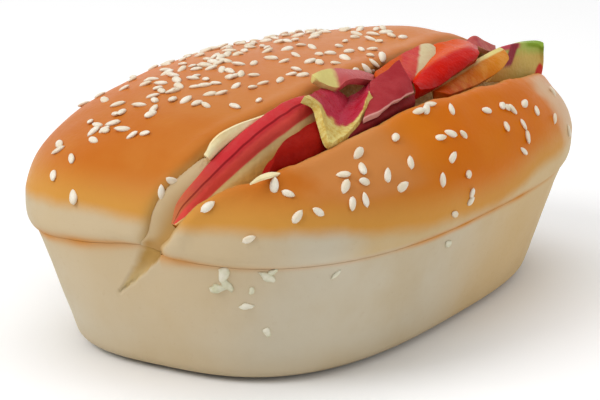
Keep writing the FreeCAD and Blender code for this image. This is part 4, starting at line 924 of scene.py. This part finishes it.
def sheet_piece(name, rows, ripple, seed, thickness, finish, node=None, down=26, along=40):
    """A piece through rows of (pixel x, pixel y, y) marks, rippled, thickened, softly rounded and mapped."""
    marks = np.array([[tuple(at_depth(*mark)) for mark in row] for row in rows])
    grid = smooth_through(np.stack([smooth_through(row, along) for row in marks]), down)
    grid = grid + np.stack([np.zeros(grid.shape[:2]), ripple * swell(grid, 4.0, seed),
                            ripple * swell(grid, 5.0, seed + 3)], axis=-1)
    faces = grid_faces(down, along, closed=False)[:, [0, 3, 2, 1]]
    made = new_piece(name, grid.reshape(-1, 3), faces, finish)
    places = np.meshgrid(np.linspace(0, 1, along), np.linspace(1, 0, down))
    map_sheet(made, np.stack(places, axis=-1).reshape(-1, 2))
    thicken(made, thickness, 0)
    edge = made.modifiers.new("edge", "BEVEL")
    edge.width, edge.segments, edge.limit_method = thickness * 0.35 * MM, 2, "ANGLE"
    edge.angle_limit = math.radians(50)
    settle(made)
    made.data.shade_smooth()
    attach(made, "lid")
    if node:
        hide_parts(node)
    print(name, "has", len(made.data.polygons), "faces")


print("sheet helpers ready")

# %% [markdown]
# ## Apple slice
# The long crescent that climbs out of the tear is a slice with crimson skin and pale flesh. Its section
# turns from skin to flesh at a sharp edge, so it is swept: a closed loop of points at each station.

# %% Apple slice
SKIN_TOP = ((-71.5, -9.8, 35.2), (-69.7, -10.2, 38.8), (-66.0, -12.5, 43.0), (-60.8, -14.9, 47.4),
            (-53.1, -17.0, 51.5), (-44.1, -18.4, 54.1), (-38.0, -19.0, 54.7), (-32.6, -19.4, 53.8))
SKIN_LOW = ((-71.4, -10.5, 34.8), (-69.2, -12.6, 37.0), (-65.2, -14.9, 40.0), (-60.2, -17.2, 43.6),
            (-53.2, -19.4, 47.4), (-44.6, -21.0, 50.3), (-38.1, -21.8, 52.0), (-33.0, -22.0, 51.6))
FLESH_LOW = ((-71.3, -10.9, 34.5), (-68.4, -14.0, 35.6), (-64.0, -17.6, 37.2), (-59.0, -20.4, 39.4),
             (-53.0, -22.6, 42.2), (-45.6, -24.2, 45.2), (-37.5, -24.8, 47.4), (-32.0, -24.6, 47.6))
BULGE, UNDER, BEHIND, SHOULDER = np.array([(-0.25, -0.55, 0.6), (0.6, 2.0, -5.0), (0.8, 2.6, -4.0),
                                           (0.2, 1.2, -0.3)])
STATIONS, SKIN_STEPS, FLESH_STEPS, BACK_STEPS = 70, 24, 9, 10
top, low_edge, flesh = (smooth_through(marks, STATIONS) for marks in (SKIN_TOP, SKIN_LOW, FLESH_LOW))
depth = (0.15 + 0.85 * smooth_step(np.linspace(0, 1, STATIONS), 0, 0.4))[:, None]
behind = top + BEHIND * depth
loops = np.stack([behind, top + SHOULDER * depth, top, (top + low_edge) / 2 + BULGE * depth, low_edge, flesh,
                  flesh + UNDER * depth, behind])
loop_grid = np.concatenate([smooth_through(loops[:5], SKIN_STEPS),
                            smooth_through(loops[4:6], FLESH_STEPS)[1:],
                            smooth_through(loops[5:8], BACK_STEPS)[1:-1]])
round_share = np.concatenate([np.linspace(0, 0.5, SKIN_STEPS), np.linspace(0.5, 0.75, FLESH_STEPS)[1:],
                              np.linspace(0.75, 1, BACK_STEPS)[1:-1]])
loop_count = len(loop_grid)
apple_points = loop_grid.transpose(1, 0, 2)
apple_points = apple_points + 0.12 * swell(apple_points, 3.0, 2.0)[..., None]
ends = np.arange(STATIONS * loop_count).reshape(STATIONS, loop_count)
faces = grid_faces(STATIONS, loop_count).tolist() + [ends[0, ::-1].tolist(), ends[-1].tolist()]


def apple_paint(coat):
    skin = coat.mix(coat.between(coat.along, 0.0, 0.42), (206, 122, 76), (208, 56, 60))
    skin = coat.mix(coat.between(coat.cloud, 0.45, 0.7, 0.0, 0.5), skin, (204, 76, 76))
    skin = coat.mix(coat.between(coat.across, 0.36, 0.42), skin, (246, 92, 82))
    skin = coat.mix(coat.between(coat.away(coat.across, 0.345), 0.016, 0.006, 0.0, 0.7), skin, (120, 16, 24))
    # The flesh is cream under the skin. Further down it is mixed to brown, which is painted shade where it
    # sinks behind the near lip.
    pulp_with_shade = coat.mix(coat.between(coat.across, 0.52, 0.60), (246, 216, 150), (224, 170, 92))
    pulp_with_shade = coat.mix(coat.between(coat.across, 0.58, 0.72), pulp_with_shade, (160, 92, 18))
    return coat.mix(coat.between(coat.across, 0.495, 0.515), skin, pulp_with_shade)


apple = new_piece("apple_crescent", apple_points.reshape(-1, 3), faces,
                  glazed_finish("apple_glaze", apple_paint, 0.25))
places = np.meshgrid(np.linspace(0, 1, STATIONS), round_share, indexing="ij")
map_sheet(apple, np.stack(places, axis=-1).reshape(-1, 2))
face_out(apple)
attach(apple, "lid")
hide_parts("apple_slice")
print("apple crescent has", len(apple.data.polygons), "faces")

# %% [markdown]
# ## Flake, ham, leaves
# A pale flake leans on the far lip, and a thin sliver lies on the near one. A dark red ham slice lines the
# slit behind the near lip. The curled leaf is a cup with a thick cream rim, and behind it stands a petal. The
# ham fold leans over the near lip, with a second layer tucked under its wavy edge.

# %% Soft slices
FLAKE = (((204, 155, -12.0), (212, 142, -12.6), (226, 130, -13.6), (245, 122, -14.8), (266, 115, -16.0),
          (290, 106, -17.0)),
         ((207, 158, -12.6), (216, 148, -13.2), (231, 138, -14.2), (250, 130, -15.3), (270, 121, -16.3),
          (292, 112, -17.2)),
         ((210, 160, -11.4), (222, 154, -12.0), (238, 146, -13.0), (256, 138, -14.0), (275, 129, -15.0),
          (295, 119, -15.8)))
SLIVER = (((250, 183, -24.8), (260, 176, -24.8), (270, 173, -25.4), (280, 174, -26.6)),
          ((251, 184, -25.0), (261, 180, -25.6), (271, 177, -26.4), (280, 175, -26.8)))
HAM_WALL = (((282, 144, -23.4), (292, 137, -23.6), (303, 131, -24.0), (314, 124, -24.4), (325, 117, -24.8)),
            ((272, 160, -24.2), (285, 154, -25.0), (299, 148, -26.0), (312, 142, -26.8), (327, 135, -27.4)),
            ((263, 177, -23.8), (279, 175, -25.0), (297, 170, -26.6), (313, 163, -27.8), (329, 156, -28.4)))
CUP = (((303, 100, -22.5), (316, 108, -24.5), (321, 126, -27.0), (328, 145, -30.0), (340, 141, -30.5),
        (353, 131, -30.0), (363, 116, -29.0), (371, 96, -27.5)),
       ((311, 96, -21.0), (321, 103, -22.5), (327, 118, -25.0), (333, 131, -27.5), (342, 130, -27.8),
        (352, 121, -27.5), (361, 108, -27.0), (370, 92, -26.0)),
       ((322, 90, -18.0), (334, 92, -19.0), (343, 97, -20.0), (348, 101, -20.5), (353, 98, -21.0),
        (358, 95, -21.0), (365, 91, -21.0), (372, 84, -21.0)))
PETAL = (((311, 78, -17.5), (318, 73, -17.5), (330, 71, -18.0), (345, 71, -18.5), (358, 73, -19.0),
          (372, 77, -20.0)),
         ((314, 81, -18.5), (323, 80, -18.8), (334, 80, -19.5), (346, 77, -20.0), (358, 78, -20.4),
          (372, 80, -21.0)),
         ((318, 84, -19.0), (328, 88, -20.0), (338, 89, -21.0), (347, 83, -21.4), (358, 82, -21.6),
          (372, 83, -22.0)))
HAM_FOLD = (((371, 84, -24.0), (380, 76, -24.5), (390, 69, -25.0), (399, 62, -25.5)),
            ((368, 104, -27.5), (381, 95, -28.0), (394, 86, -28.5), (406, 77, -28.5)),
            ((362, 123, -30.0), (378, 114, -31.0), (395, 103, -31.0), (412, 93, -30.5)))
HAM_TUCK = (((345, 134, -28.5), (364, 121, -29.0), (388, 107, -29.5), (413, 95, -29.5)),
            ((344, 139, -29.5), (366, 127, -30.0), (390, 114, -30.5), (413, 102, -30.5)),
            ((346, 145, -29.0), (368, 134, -29.5), (391, 121, -30.0), (412, 109, -30.0)))


def flake_paint(coat):
    return coat.clouds((248, 236, 190), (244, 222, 168), 0.35, 0.7)


def ham_paint(dark, light, rim):
    """A painter of meat with a thin rim of fat."""
    def painter(coat):
        fat = coat.between(coat.shifted(coat.across, 0.04, coat.grain), 0.07, 0.02)
        return coat.mix(fat, coat.clouds(dark, light), rim)
    return painter


def cup_paint(coat):
    cream = coat.mix(coat.between(coat.grain, 0.35, 0.65), (224, 206, 128), (206, 172, 82))
    bottom = coat.between(coat.away(coat.along, 0.45), 0.35, 0.08, 0.0, 0.34)
    rim = coat.between(coat.calc("ADD", coat.shifted(coat.across, 0.30), bottom), 0.74, 0.84)
    return coat.mix(rim, coat.clouds((176, 26, 46), (190, 56, 78)), cream)


def petal_paint(coat):
    flesh = coat.mix(coat.between(coat.across, 0.2, 0.9), (196, 88, 88), (212, 116, 116))
    return coat.mix(coat.between(coat.shifted(coat.along, 0.2), 0.44, 0.34), flesh, (226, 212, 132))


def ham_glaze(name, dark, light, rim, roughness=0.4):
    return glazed_finish(name, ham_paint(dark, light, rim), roughness)


sheet_piece("lip_sliver", SLIVER, 0.1, 4, 0.5, glazed_finish("sliver_glaze", flake_paint, 0.45),
            down=10, along=20)
sheet_piece("pale_flake", FLAKE, 0.15, 3, 1.2, glazed_finish("flake_glaze", flake_paint, 0.42),
            "cheese_flake")
sheet_piece("ham_lining", HAM_WALL, 0.35, 8, 1.6,
            ham_glaze("ham_dark_glaze", (142, 18, 10), (156, 28, 18), (164, 46, 34)), "ham_slice")
sheet_piece("leaf_cup", CUP, 0.3, 5, 1.5, glazed_finish("leaf_cup_glaze", cup_paint, 0.28),
            "leaf_fold")
sheet_piece("leaf_petal", PETAL, 0.3, 6, 1.5, glazed_finish("leaf_petal_glaze", petal_paint, 0.3))
sheet_piece("ham_folded", HAM_FOLD, 0.45, 12, 1.1,
            ham_glaze("ham_pink_glaze", (162, 44, 50), (174, 58, 62), (218, 156, 146)), "ham_fold")
sheet_piece("ham_tucked", HAM_TUCK, 0.35, 14, 1.1,
            ham_glaze("ham_tucked_glaze", (128, 32, 36), (144, 44, 44), (160, 70, 62)))

# %% [markdown]
# ## Pepper, carrot, cucumber and the rear leaf
# At the right end a red leaf with a cream border, a pink tip, a thick bent pepper strip, a square-cut carrot
# bar and a cucumber slice lie one behind the other. The pepper and the bar are thick, so they get thick
# sheets.

# %% Firm slices
REAR = (((374, 74, -20.5), (390, 63, -19.8), (406, 54, -19.5), (418, 48, -19.5), (430, 46, -20.0),
         (440, 58, -22.0)),
        ((378, 81, -22.5), (392, 73, -22.0), (406, 67, -22.2), (416, 63, -22.5), (425, 62, -23.0),
         (433, 66, -24.0)),
        ((383, 88, -24.5), (396, 83, -24.5), (406, 82, -25.0), (412, 84, -25.2), (418, 82, -25.4),
         (426, 76, -25.4)))
TIP = (((466, 42, -17.5), (474, 37, -17.5), (483, 42, -18.0), (494, 47, -18.5)),
       ((468, 50, -19.5), (476, 48, -19.8), (485, 52, -20.2), (494, 54, -20.5)))
PEPPER = (((427, 53, -19.5), (439, 47, -20.0), (455, 44, -20.5), (466, 46, -21.5), (474, 51, -23.0)),
          ((423, 70, -22.5), (437, 58, -22.5), (454, 51, -23.0), (467, 49, -23.5), (475, 53, -24.5)),
          ((415, 85, -26.0), (433, 68, -25.6), (450, 58, -25.4), (466, 52, -25.4), (476, 54, -26.0)),
          ((416, 90, -28.0), (434, 78, -27.6), (451, 67, -27.4), (466, 59, -27.2), (477, 56, -27.0)),
          ((418, 95, -29.5), (435, 89, -29.2), (452, 77, -28.8), (467, 66, -28.4), (477, 59, -27.8)))
CARROT = (((432, 93, -27.6), (456, 77, -26.8), (480, 61, -26.2), (498, 50, -26.0)),
          ((433, 95, -29.0), (458, 79, -28.2), (482, 64, -27.6), (503, 53, -27.2)),
          ((440, 96, -30.2), (466, 83, -29.6), (489, 68, -29.2), (506, 57, -28.6)),
          ((448, 98, -31.2), (474, 87, -30.8), (497, 73, -30.4), (507, 62, -29.6)))
CUCUMBER = (((498, 48, -24.0), (511, 44, -24.5), (524, 42, -25.5), (536, 42, -27.0), (544, 45, -28.5)),
            ((494, 64, -25.0), (509, 61, -25.2), (524, 59, -25.6), (535, 58, -26.4), (542, 59, -27.4)),
            ((486, 82, -25.6), (504, 82, -25.6), (519, 81, -25.6), (530, 79, -25.6), (538, 75, -26.0)))


def rear_paint(coat):
    side = coat.shifted(coat.along, 0.16)
    red = coat.clouds((206, 62, 66), (214, 86, 74), 0.35, 0.65)
    red = coat.mix(coat.between(side, 0.36, 0.26), red, (218, 92, 34))
    return coat.mix(coat.between(side, 0.58, 0.66), red, (222, 204, 160))


def pepper_paint(coat):
    upper = coat.mix(coat.between(coat.along, 0.6, 0.95), (226, 84, 18), (206, 40, 30))
    face = coat.clouds((200, 14, 1), (208, 24, 4))
    face = coat.mix(coat.between(coat.across, 0.3, 0.0, 0.0, 0.5), face, (130, 14, 8))
    return coat.mix(coat.between(coat.across, 0.44, 0.58), face, upper)


def carrot_paint(coat):
    face = coat.mix(coat.between(coat.along, 0.1, 0.8), (186, 70, 12), (214, 128, 24))
    face = coat.mix(coat.between(coat.cloud, 0.4, 0.7, 0.0, 0.4), face, (228, 168, 84))
    return coat.mix(coat.between(coat.across, 0.62, 0.74), face, (228, 212, 134))


def cucumber_paint(coat):
    # painted shade: the flesh is browner at the end that goes under the carrot bar
    flesh = coat.mix(coat.between(coat.along, 0.05, 0.5), (208, 154, 78), (212, 184, 104))
    flesh = coat.mix(coat.between(coat.shifted(coat.across, 0.3), 0.55, 0.85), flesh, (176, 190, 96))
    peel = coat.times(coat.between(coat.across, 0.82, 0.92), coat.between(coat.along, 0.42, 0.55))
    flesh = coat.mix(peel, flesh, (140, 168, 60))
    blush = coat.times(coat.between(coat.across, 0.78, 0.9), coat.between(coat.along, 0.40, 0.30))
    flesh = coat.mix(blush, flesh, (204, 84, 96))
    slant = coat.away(coat.calc("MULTIPLY_ADD", coat.across, -0.16, coat.along), 0.10)
    stripe = coat.times(coat.between(slant, 0.10, 0.05), coat.between(coat.across, 0.30, 0.45))
    flesh = coat.mix(stripe, flesh, (150, 56, 66))
    spot_x, spot_y = coat.away(coat.along, 0.87), coat.times(coat.away(coat.across, 0.18), 0.6)
    far_off = coat.calc("SQRT", coat.calc("MULTIPLY_ADD", spot_x, spot_x, coat.times(spot_y, spot_y)))
    return coat.mix(coat.between(far_off, 0.17, 0.10), flesh, (206, 62, 52))


sheet_piece("red_leaf", REAR, 0.25, 21, 1.4, glazed_finish("red_leaf_glaze", rear_paint, 0.28),
            "rear_leaf")
sheet_piece("pink_tip", TIP, 0.2, 25, 1.2,
            ham_glaze("pink_tip_glaze", (186, 66, 72), (208, 120, 104), (214, 150, 120), 0.34),
            down=14, along=20)
sheet_piece("pepper_strip", PEPPER, 0.2, 31, 2.4, glazed_finish("pepper_glaze", pepper_paint, 0.22),
            "pepper_slice", down=34)
sheet_piece("carrot_stick", CARROT, 0.08, 41, 1.8, glazed_finish("carrot_glaze", carrot_paint, 0.32),
            "carrot_bar")
sheet_piece("cucumber_cut", CUCUMBER, 0.12, 51, 2.0, glazed_finish("cucumber_glaze", cucumber_paint, 0.3),
            "cucumber_slice")

# %% [markdown]
# ## Sesame seeds
# A seed is a flat drop of a few dozen faces. The seeds that stand out in the photograph are laid where their
# pixel's ray meets the crown. Geometry Nodes strews more over the top and the far slope, where they can't be
# told apart or aren't seen. All of them turn and grow at random with a fixed seed, so every run gives the
# same bun.

# %% Seed shape
SEED_LENGTH, SEED_WIDTH, SEED_THICKNESS, SEED_RINGS, SEED_SIDES = 3.3, 1.85, 1.05, 6, 8


def seed_shape():
    """A flat drop, pointed at both ends and fuller towards one."""
    points = [(-SEED_LENGTH / 2, 0, 0)]
    for share in np.arange(1, SEED_RINGS) / SEED_RINGS:
        girth = math.sin(math.pi * share) ** 0.55 * (0.76 + 0.28 * share)
        for angle in 2 * math.pi * np.arange(SEED_SIDES) / SEED_SIDES:
            points.append((SEED_LENGTH * (share - 0.5), SEED_WIDTH / 2 * girth * math.cos(angle),
                           SEED_THICKNESS / 2 * girth * math.sin(angle)))
    points.append((SEED_LENGTH / 2, 0, 0))
    end = len(points) - 1
    faces = []
    for k in range(SEED_SIDES):
        after = (k + 1) % SEED_SIDES
        last = end - SEED_SIDES
        faces += [(0, 1 + after, 1 + k), (end, last + k, last + after)]
    faces += (grid_faces(SEED_RINGS - 1, SEED_SIDES) + 1).tolist()
    made = new_piece("seed_shape", points, faces)
    face_out(made)
    return made


def seed_finish(name, bright, dull):
    coat = Finish(name, 0.0035, 0.0005, 0.42)
    return coat.done(coat.clouds(bright, dull), 0.00005)


seed_pattern = seed_shape()
sesame = seed_finish("sesame_hull", (244, 236, 218), (232, 216, 186))
print("seed has", len(seed_pattern.data.polygons), "faces")

# %% Seeds seen one by one
NEAR_SEEDS = ((395, 138), (358, 154), (343, 175), (362, 169), (364, 182), (345, 187), (387, 176),
              (410, 163), (402, 187), (352, 204), (365, 200), (318, 212), (297, 217), (288, 194),
              (274, 186), (208, 207), (249, 239), (440, 138), (450, 134), (463, 135), (452, 158),
              (442, 180), (468, 174), (471, 194), (454, 214), (486, 111), (507, 108), (524, 104),
              (536, 111), (506, 127), (523, 125), (527, 137), (523, 151), (554, 119), (451, 110),
              (426, 110), (502, 106), (512, 110), (470, 201), (568, 131), (552, 92), (430, 105), (418, 112),
              (437, 98))
FAR_SEEDS = ((60, 145), (72, 159), (54, 176), (74, 197), (94, 141), (94, 132), (105, 131), (113, 124),
             (118, 105), (122, 113), (132, 136), (145, 134), (151, 115), (172, 181), (161, 192), (155, 101),
             (173, 100), (186, 101), (197, 104), (206, 106), (235, 107), (259, 101), (210, 95), (221, 94),
             (236, 87), (253, 88), (263, 84), (280, 81), (291, 75), (302, 76), (296, 70), (254, 76),
             (234, 77), (241, 75), (229, 78), (230, 72), (205, 86), (216, 84), (206, 80), (193, 79),
             (196, 77), (179, 87), (173, 92), (177, 81), (162, 92), (158, 89), (161, 84), (153, 80),
             (167, 74), (173, 76), (182, 70), (200, 66), (211, 69), (222, 71), (226, 62), (239, 65),
             (254, 64), (271, 59), (284, 62), (267, 52), (287, 50), (296, 56), (237, 55), (223, 57),
             (207, 60), (254, 44), (287, 42), (301, 46), (312, 48), (310, 62), (319, 63), (319, 55),
             (355, 38), (403, 38), (386, 33), (345, 42), (339, 47), (330, 54), (314, 38), (345, 59),
             (349, 52), (361, 50), (372, 50), (370, 56), (374, 64), (336, 64), (382, 58), (370, 71),
             (355, 71), (366, 70), (371, 40), (379, 42), (373, 35), (350, 28), (360, 30), (367, 25),
             (383, 29), (376, 30), (343, 31), (357, 35), (391, 36))


def surface_of(piece):
    shape = bmesh.new()
    shape.from_mesh(piece.data)
    found = BVHTree.FromBMesh(shape)
    shape.free()
    return found


crown_surface, tub_surface = surface_of(crown), surface_of(tub)


def landing(surface, pixel):
    """Where a pixel's ray meets a surface, and the way the surface faces there."""
    return surface.ray_cast(EYE * MM, ray(*pixel))[:2]


landed = [landing(crown_surface, pixel) for pixel in NEAR_SEEDS + FAR_SEEDS]
landed = [(spot, facing) for spot, facing in landed if spot is not None]
print(len(landed), "seeds land on the crown")

# %% Places for seeds
TOP_ROW = 20
flat = crown_points[TOP_ROW:].reshape(-1, 3)
flat_x, flat_y, flat_z = flat.T
crowd = bell(flat_x - 2, 46) * bell(flat_y - 10, 22) + 0.16 * bell(flat_x, 60)
crowd = np.clip(crowd * smooth_step(flat_y, 4.0, 12.0) * smooth_step(flat_z, 38.0, 46.0), 0, 1)
top_faces = grid_faces(len(crown_points) - TOP_ROW, column_count)[keep[TOP_ROW:].ravel()]
strewn = new_piece("strewn_on", flat, top_faces, values={"crowd": crowd})
strewn.data.shade_flat()
lone_mesh = bpy.data.meshes.new("lone_seeds")
lone_mesh.from_pydata([tuple(spot) for spot, _ in landed], [], [])
lone_mesh.attributes.new("facing", "FLOAT_VECTOR", "POINT").data.foreach_set(
    "vector", np.array([tuple(facing) for _, facing in landed], dtype=np.float32).ravel())
lone = shown("lone_seeds", lone_mesh)
print("seeds may be strewn on", len(top_faces), "cells")

# %% Seeds strewn over the top
SETTINGS = {"Per square metre": ("Float", 70000.0), "Spacing": ("Float", 2.1 * MM),
            "Sink": ("Float", 0.22 * MM), "Seed": ("Int", 5), "Pattern": ("Object", seed_pattern),
            "Lone seeds": ("Object", lone), "Finish": ("Material", sesame)}
strewing = bpy.data.node_groups.new("seed_strewing", "GeometryNodeTree")
for way in ("INPUT", "OUTPUT"):
    strewing.interface.new_socket("Geometry", in_out=way, socket_type="NodeSocketGeometry")
sockets = {}
for label, (kind, _) in SETTINGS.items():
    made = strewing.interface.new_socket(label, in_out="INPUT", socket_type="NodeSocket" + kind)
    sockets[label] = made.identifier


def lay(kind, values=None, **settings):
    return put(strewing, kind, values, **settings).outputs


given = lay("NodeGroupInput")
crowd = lay("GeometryNodeInputNamedAttribute", {"Name": "crowd"}, data_type="FLOAT")
spread = lay("GeometryNodeDistributePointsOnFaces",
             {"Mesh": given["Geometry"], "Distance Min": given["Spacing"],
              "Density Max": given["Per square metre"], "Density Factor": crowd["Attribute"],
              "Seed": given["Seed"]}, distribute_method="POISSON")
strewn_points = lay("GeometryNodeStoreNamedAttribute",
                    {"Geometry": spread["Points"], "Name": "facing", "Value": spread["Normal"]},
                    data_type="FLOAT_VECTOR", domain="POINT")
single = lay("GeometryNodeObjectInfo", {"Object": given["Lone seeds"]})
single_points = lay("GeometryNodeMeshToPoints", {"Mesh": single["Geometry"]})
together = put(strewing, "GeometryNodeJoinGeometry")
for points in (strewn_points["Geometry"], single_points["Points"]):
    strewing.links.new(points, together.inputs[0])
facing = lay("GeometryNodeInputNamedAttribute", {"Name": "facing"}, data_type="FLOAT_VECTOR")["Attribute"]
lying = lay("FunctionNodeAlignRotationToVector", {"Vector": facing}, axis="Z")
drawn = {"ID": lay("GeometryNodeInputIndex")[0], "Seed": given["Seed"]}
spin = lay("FunctionNodeRandomValue", {0: (-0.35, -0.30, 0.0), 1: (0.35, 0.30, 6.28), **drawn},
           data_type="FLOAT_VECTOR")
turned = lay("FunctionNodeRotateRotation", {"Rotation": lying[0], "Rotate By": spin["Value"]},
             rotation_space="LOCAL")
grown = lay("FunctionNodeRandomValue", {2: 0.85, 3: 1.15, **drawn}, data_type="FLOAT")
pattern = lay("GeometryNodeObjectInfo", {"Object": given["Pattern"]})
sinking = lay("ShaderNodeVectorMath", {0: facing, 3: given["Sink"]}, operation="SCALE")
lowered = lay("GeometryNodeSetPosition", {"Geometry": together.outputs[0], "Offset": sinking[0]})
laid = lay("GeometryNodeInstanceOnPoints", {"Points": lowered[0], "Instance": pattern["Geometry"],
                                            "Rotation": turned[0], "Scale": grown[1]})
real = lay("GeometryNodeRealizeInstances", {"Geometry": laid[0]})
coloured = lay("GeometryNodeSetMaterial", {"Geometry": real[0], "Material": given["Finish"]})
put(strewing, "NodeGroupOutput", {"Geometry": coloured[0]})
change = strewn.modifiers.new("strewing", "NODES")
change.node_group = strewing
for label, (_, value) in SETTINGS.items():
    change[sockets[label]] = value
seeds_mesh = solid_mesh(strewn)
for leftover in (strewn, lone):
    bpy.data.objects.remove(leftover)
seeds_mesh.shade_smooth()
seeds = shown("sesame_topping", seeds_mesh)
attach(seeds, "lid")
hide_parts("sesame_seeds")
print("seeds:", len(seeds_mesh.polygons) // len(seed_pattern.data.polygons))

# %% [markdown]
# ## Crumbs on the tub
# A few pale crumbs stick to the cream side. They are torn bits, so each is a seed's drop pushed out of shape.

# %% Crumbs
CRUMBS = ((224, 274, 1.5), (218, 288, 1.3), (227, 284, 1.2), (272, 272, 0.8), (269, 277, 1.3),
          (252, 290, 0.7), (246, 306, 1.0), (267, 332, 0.95), (336, 274, 0.8), (448, 243, 1.1))
CRUMB_SCALE, CRUMB_LUMP, CRUMB_LIFT = 0.9, 0.45, 0.12
shape = bmesh.new()
for number, (px, py, size) in enumerate(CRUMBS):
    spot, facing = landing(tub_surface, (px, py))
    if spot is None:
        continue
    spin = facing.to_track_quat("Z", "Y") @ Quaternion((0, 0, 1), 1.3 + number * 1.9)
    first = len(shape.verts)
    shape.from_mesh(seed_pattern.data)
    shape.verts.ensure_lookup_table()
    for vertex in shape.verts[first:]:
        point = vertex.co / MM
        lump = 1 + CRUMB_LUMP * noise.noise(point * 0.9 + Vector((number * 5.0, 0, 0)))
        vertex.co = spot + spin @ (point * lump * size * CRUMB_SCALE) * MM + facing * CRUMB_LIFT * MM
crumbs_mesh = bpy.data.meshes.new("stuck_crumbs")
shape.to_mesh(crumbs_mesh)
shape.free()
crumbs_mesh.materials.append(seed_finish("pale_crumb", (234, 228, 208), (206, 204, 168)))
crumbs_mesh.shade_smooth()
crumbs = shown("stuck_crumbs", crumbs_mesh)
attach(crumbs, "base")
bpy.data.objects.remove(seed_pattern)
print("crumbs:", len(CRUMBS))

# %% [markdown]
# ## The parts inside
# The keypad, liner, board and mechanism keep their solids. Each gets a finish with its own grain: moulded
# plastic has a fine texture, cast iron a coarse one, steel and brass are smooth, and rubber is dull.

# %% Inner finishes
KEYS = ["key_" + tail for tail in [*"123456789", "star", "0", "hash", "redial", "flash"]]
rubber = plain_finish("dull_rubber", (60, 58, 56), (74, 72, 70), 0.8, 0.006, 0.0004, 0.00004)
WORN_BY = (
    (plain_finish("textured_cream_plastic", (226, 208, 172), (218, 198, 160), 0.5, 0.02, 0.0005, 0.00004),
     ["base_plate", "keypad_panel", "lid_liner", "ringer_holder"]),
    (plain_finish("smooth_key_plastic", (240, 236, 224), (232, 226, 210), 0.28, 0.01, 0.0007, 0.00001),
     KEYS + ["hook_plunger"]),
    (plain_finish("dark_moulding", (46, 44, 42), (58, 54, 50), 0.45, 0.008, 0.0005, 0.00003),
     ["line_jack", "hook_switch", "ringer_switch", "tone_switch", "ringer_slider", "tone_slider",
      "board_components", "earpiece_receiver"]),
    (rubber, ["non_slip_ring", "microphone_boot", "receiver_gasket"]),
    (plain_finish("bright_steel", (190, 192, 196), (164, 166, 170), 0.3, 0.004, 0.0004, 0.00001, 1.0),
     ["base_screws", "panel_screws", "board_screws", "lid_screws", "hook_spring", "hinge_pin", "microphone"]),
    (plain_finish("cast_iron", (88, 86, 84), (104, 100, 96), 0.6, 0.005, 0.0008, 0.0001, 0.8),
     ["ballast_weight"]),
    (plain_finish("drawn_brass", (196, 160, 84), (178, 140, 66), 0.32, 0.004, 0.0004, 0.00001, 1.0),
     ["jack_contacts", "ringer_disc"]),
    (plain_finish("board_lacquer", (28, 92, 56), (36, 108, 66), 0.35, 0.01, 0.0006, 0.00002), ["main_board"]),
)


def only(mesh, finish):
    """Gives a mesh one finish."""
    mesh.materials.clear()
    mesh.materials.append(finish)


for finish, names in WORN_BY:
    for name in names:
        only(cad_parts[name].data, finish)
print("finished", sum(len(names) for _, names in WORN_BY), "inner parts")

# %% [markdown]
# ## Rubber domes
# Every key stands on a rubber dome that gives way under it. The membrane is therefore a flat mat with one
# dome for each key.

# %% Key membrane
MAT_THICK, KEY_TRAVEL, DOME_FOOT, DOME_SIDES = 1.2, 1.2, 3.5, 28
DOME_PROFILE = ((1.0, 0.0), (0.955, 0.12), (0.90, 0.3), (0.82, 0.6), (0.75, 0.85), (0.71, 0.96), (0.66, 1.0))
low, high = span("key_membrane")
mat_top = low.z + MAT_THICK
dome_height = high.z - mat_top
shape = bmesh.new()
shape.from_mesh(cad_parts["key_membrane"].data)
bmesh.ops.remove_doubles(shape, verts=shape.verts, dist=1e-6)
for vertex in shape.verts:
    vertex.co.z = min(vertex.co.z, mat_top * MM)
mat_mesh = bpy.data.meshes.new("membrane_mat")
shape.to_mesh(mat_mesh)
shape.free()
only(mat_mesh, rubber)
mat = shown("membrane_mat", mat_mesh)
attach(mat, "base")
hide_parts("key_membrane")
round_turns = np.arange(DOME_SIDES) / DOME_SIDES * 2 * math.pi
ends = np.arange(len(DOME_PROFILE) * DOME_SIDES).reshape(-1, DOME_SIDES)
dome_faces = grid_faces(len(DOME_PROFILE), DOME_SIDES).tolist() + [ends[0, ::-1].tolist(), ends[-1].tolist()]
for name in KEYS:
    low, high = span(name)
    middle = (low + high) / 2
    rings = [oval((DOME_FOOT * width,) * 2, 2, round_turns, mat_top + dome_height * rise)
             for width, rise in DOME_PROFILE]
    points = np.concatenate(rings) + (middle.x, middle.y, 0)
    dome = new_piece(name + "_dome", points, dome_faces, rubber)
    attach(dome, "base")
    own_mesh(dome)
print("domes are", round(dome_height, 2), "mm high")

# %% [markdown]
# ## Digits on the keys
# Each dialling key carries its plain digit or sign, as a thin print that moves with the key.

# %% Key digits
ink = plain_finish("key_ink", (62, 52, 46), (76, 64, 56), 0.5, 0.003, 0.0004, 0.00001)
DIGIT_HEIGHT, PRINT, SIGNS = 5.4, 0.03, "123456789*0#"
for name, sign in zip(KEYS, SIGNS):
    curve = bpy.data.curves.new(name + "_print", "FONT")
    curve.body, curve.size, curve.align_x, curve.align_y = sign, DIGIT_HEIGHT * MM, "CENTER", "CENTER"
    curve.extrude = PRINT * MM
    text = shown(name + "_text", curve)
    print_mesh = solid_mesh(text)
    bpy.data.objects.remove(text)
    low, high = (Vector(corner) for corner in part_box(name))
    middle = (low + high) / 2
    xs, ys = ([vertex.co[axis] for vertex in print_mesh.vertices] for axis in (0, 1))
    shift = Vector((middle.x - (min(xs) + max(xs)) / 2, middle.y - (min(ys) + max(ys)) / 2, high.z))
    print_mesh.transform(Matrix.Translation(shift))
    only(print_mesh, ink)
    digit = shown(name + "_print", print_mesh)
    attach(digit, name)
print("digits on", len(SIGNS), "keys")
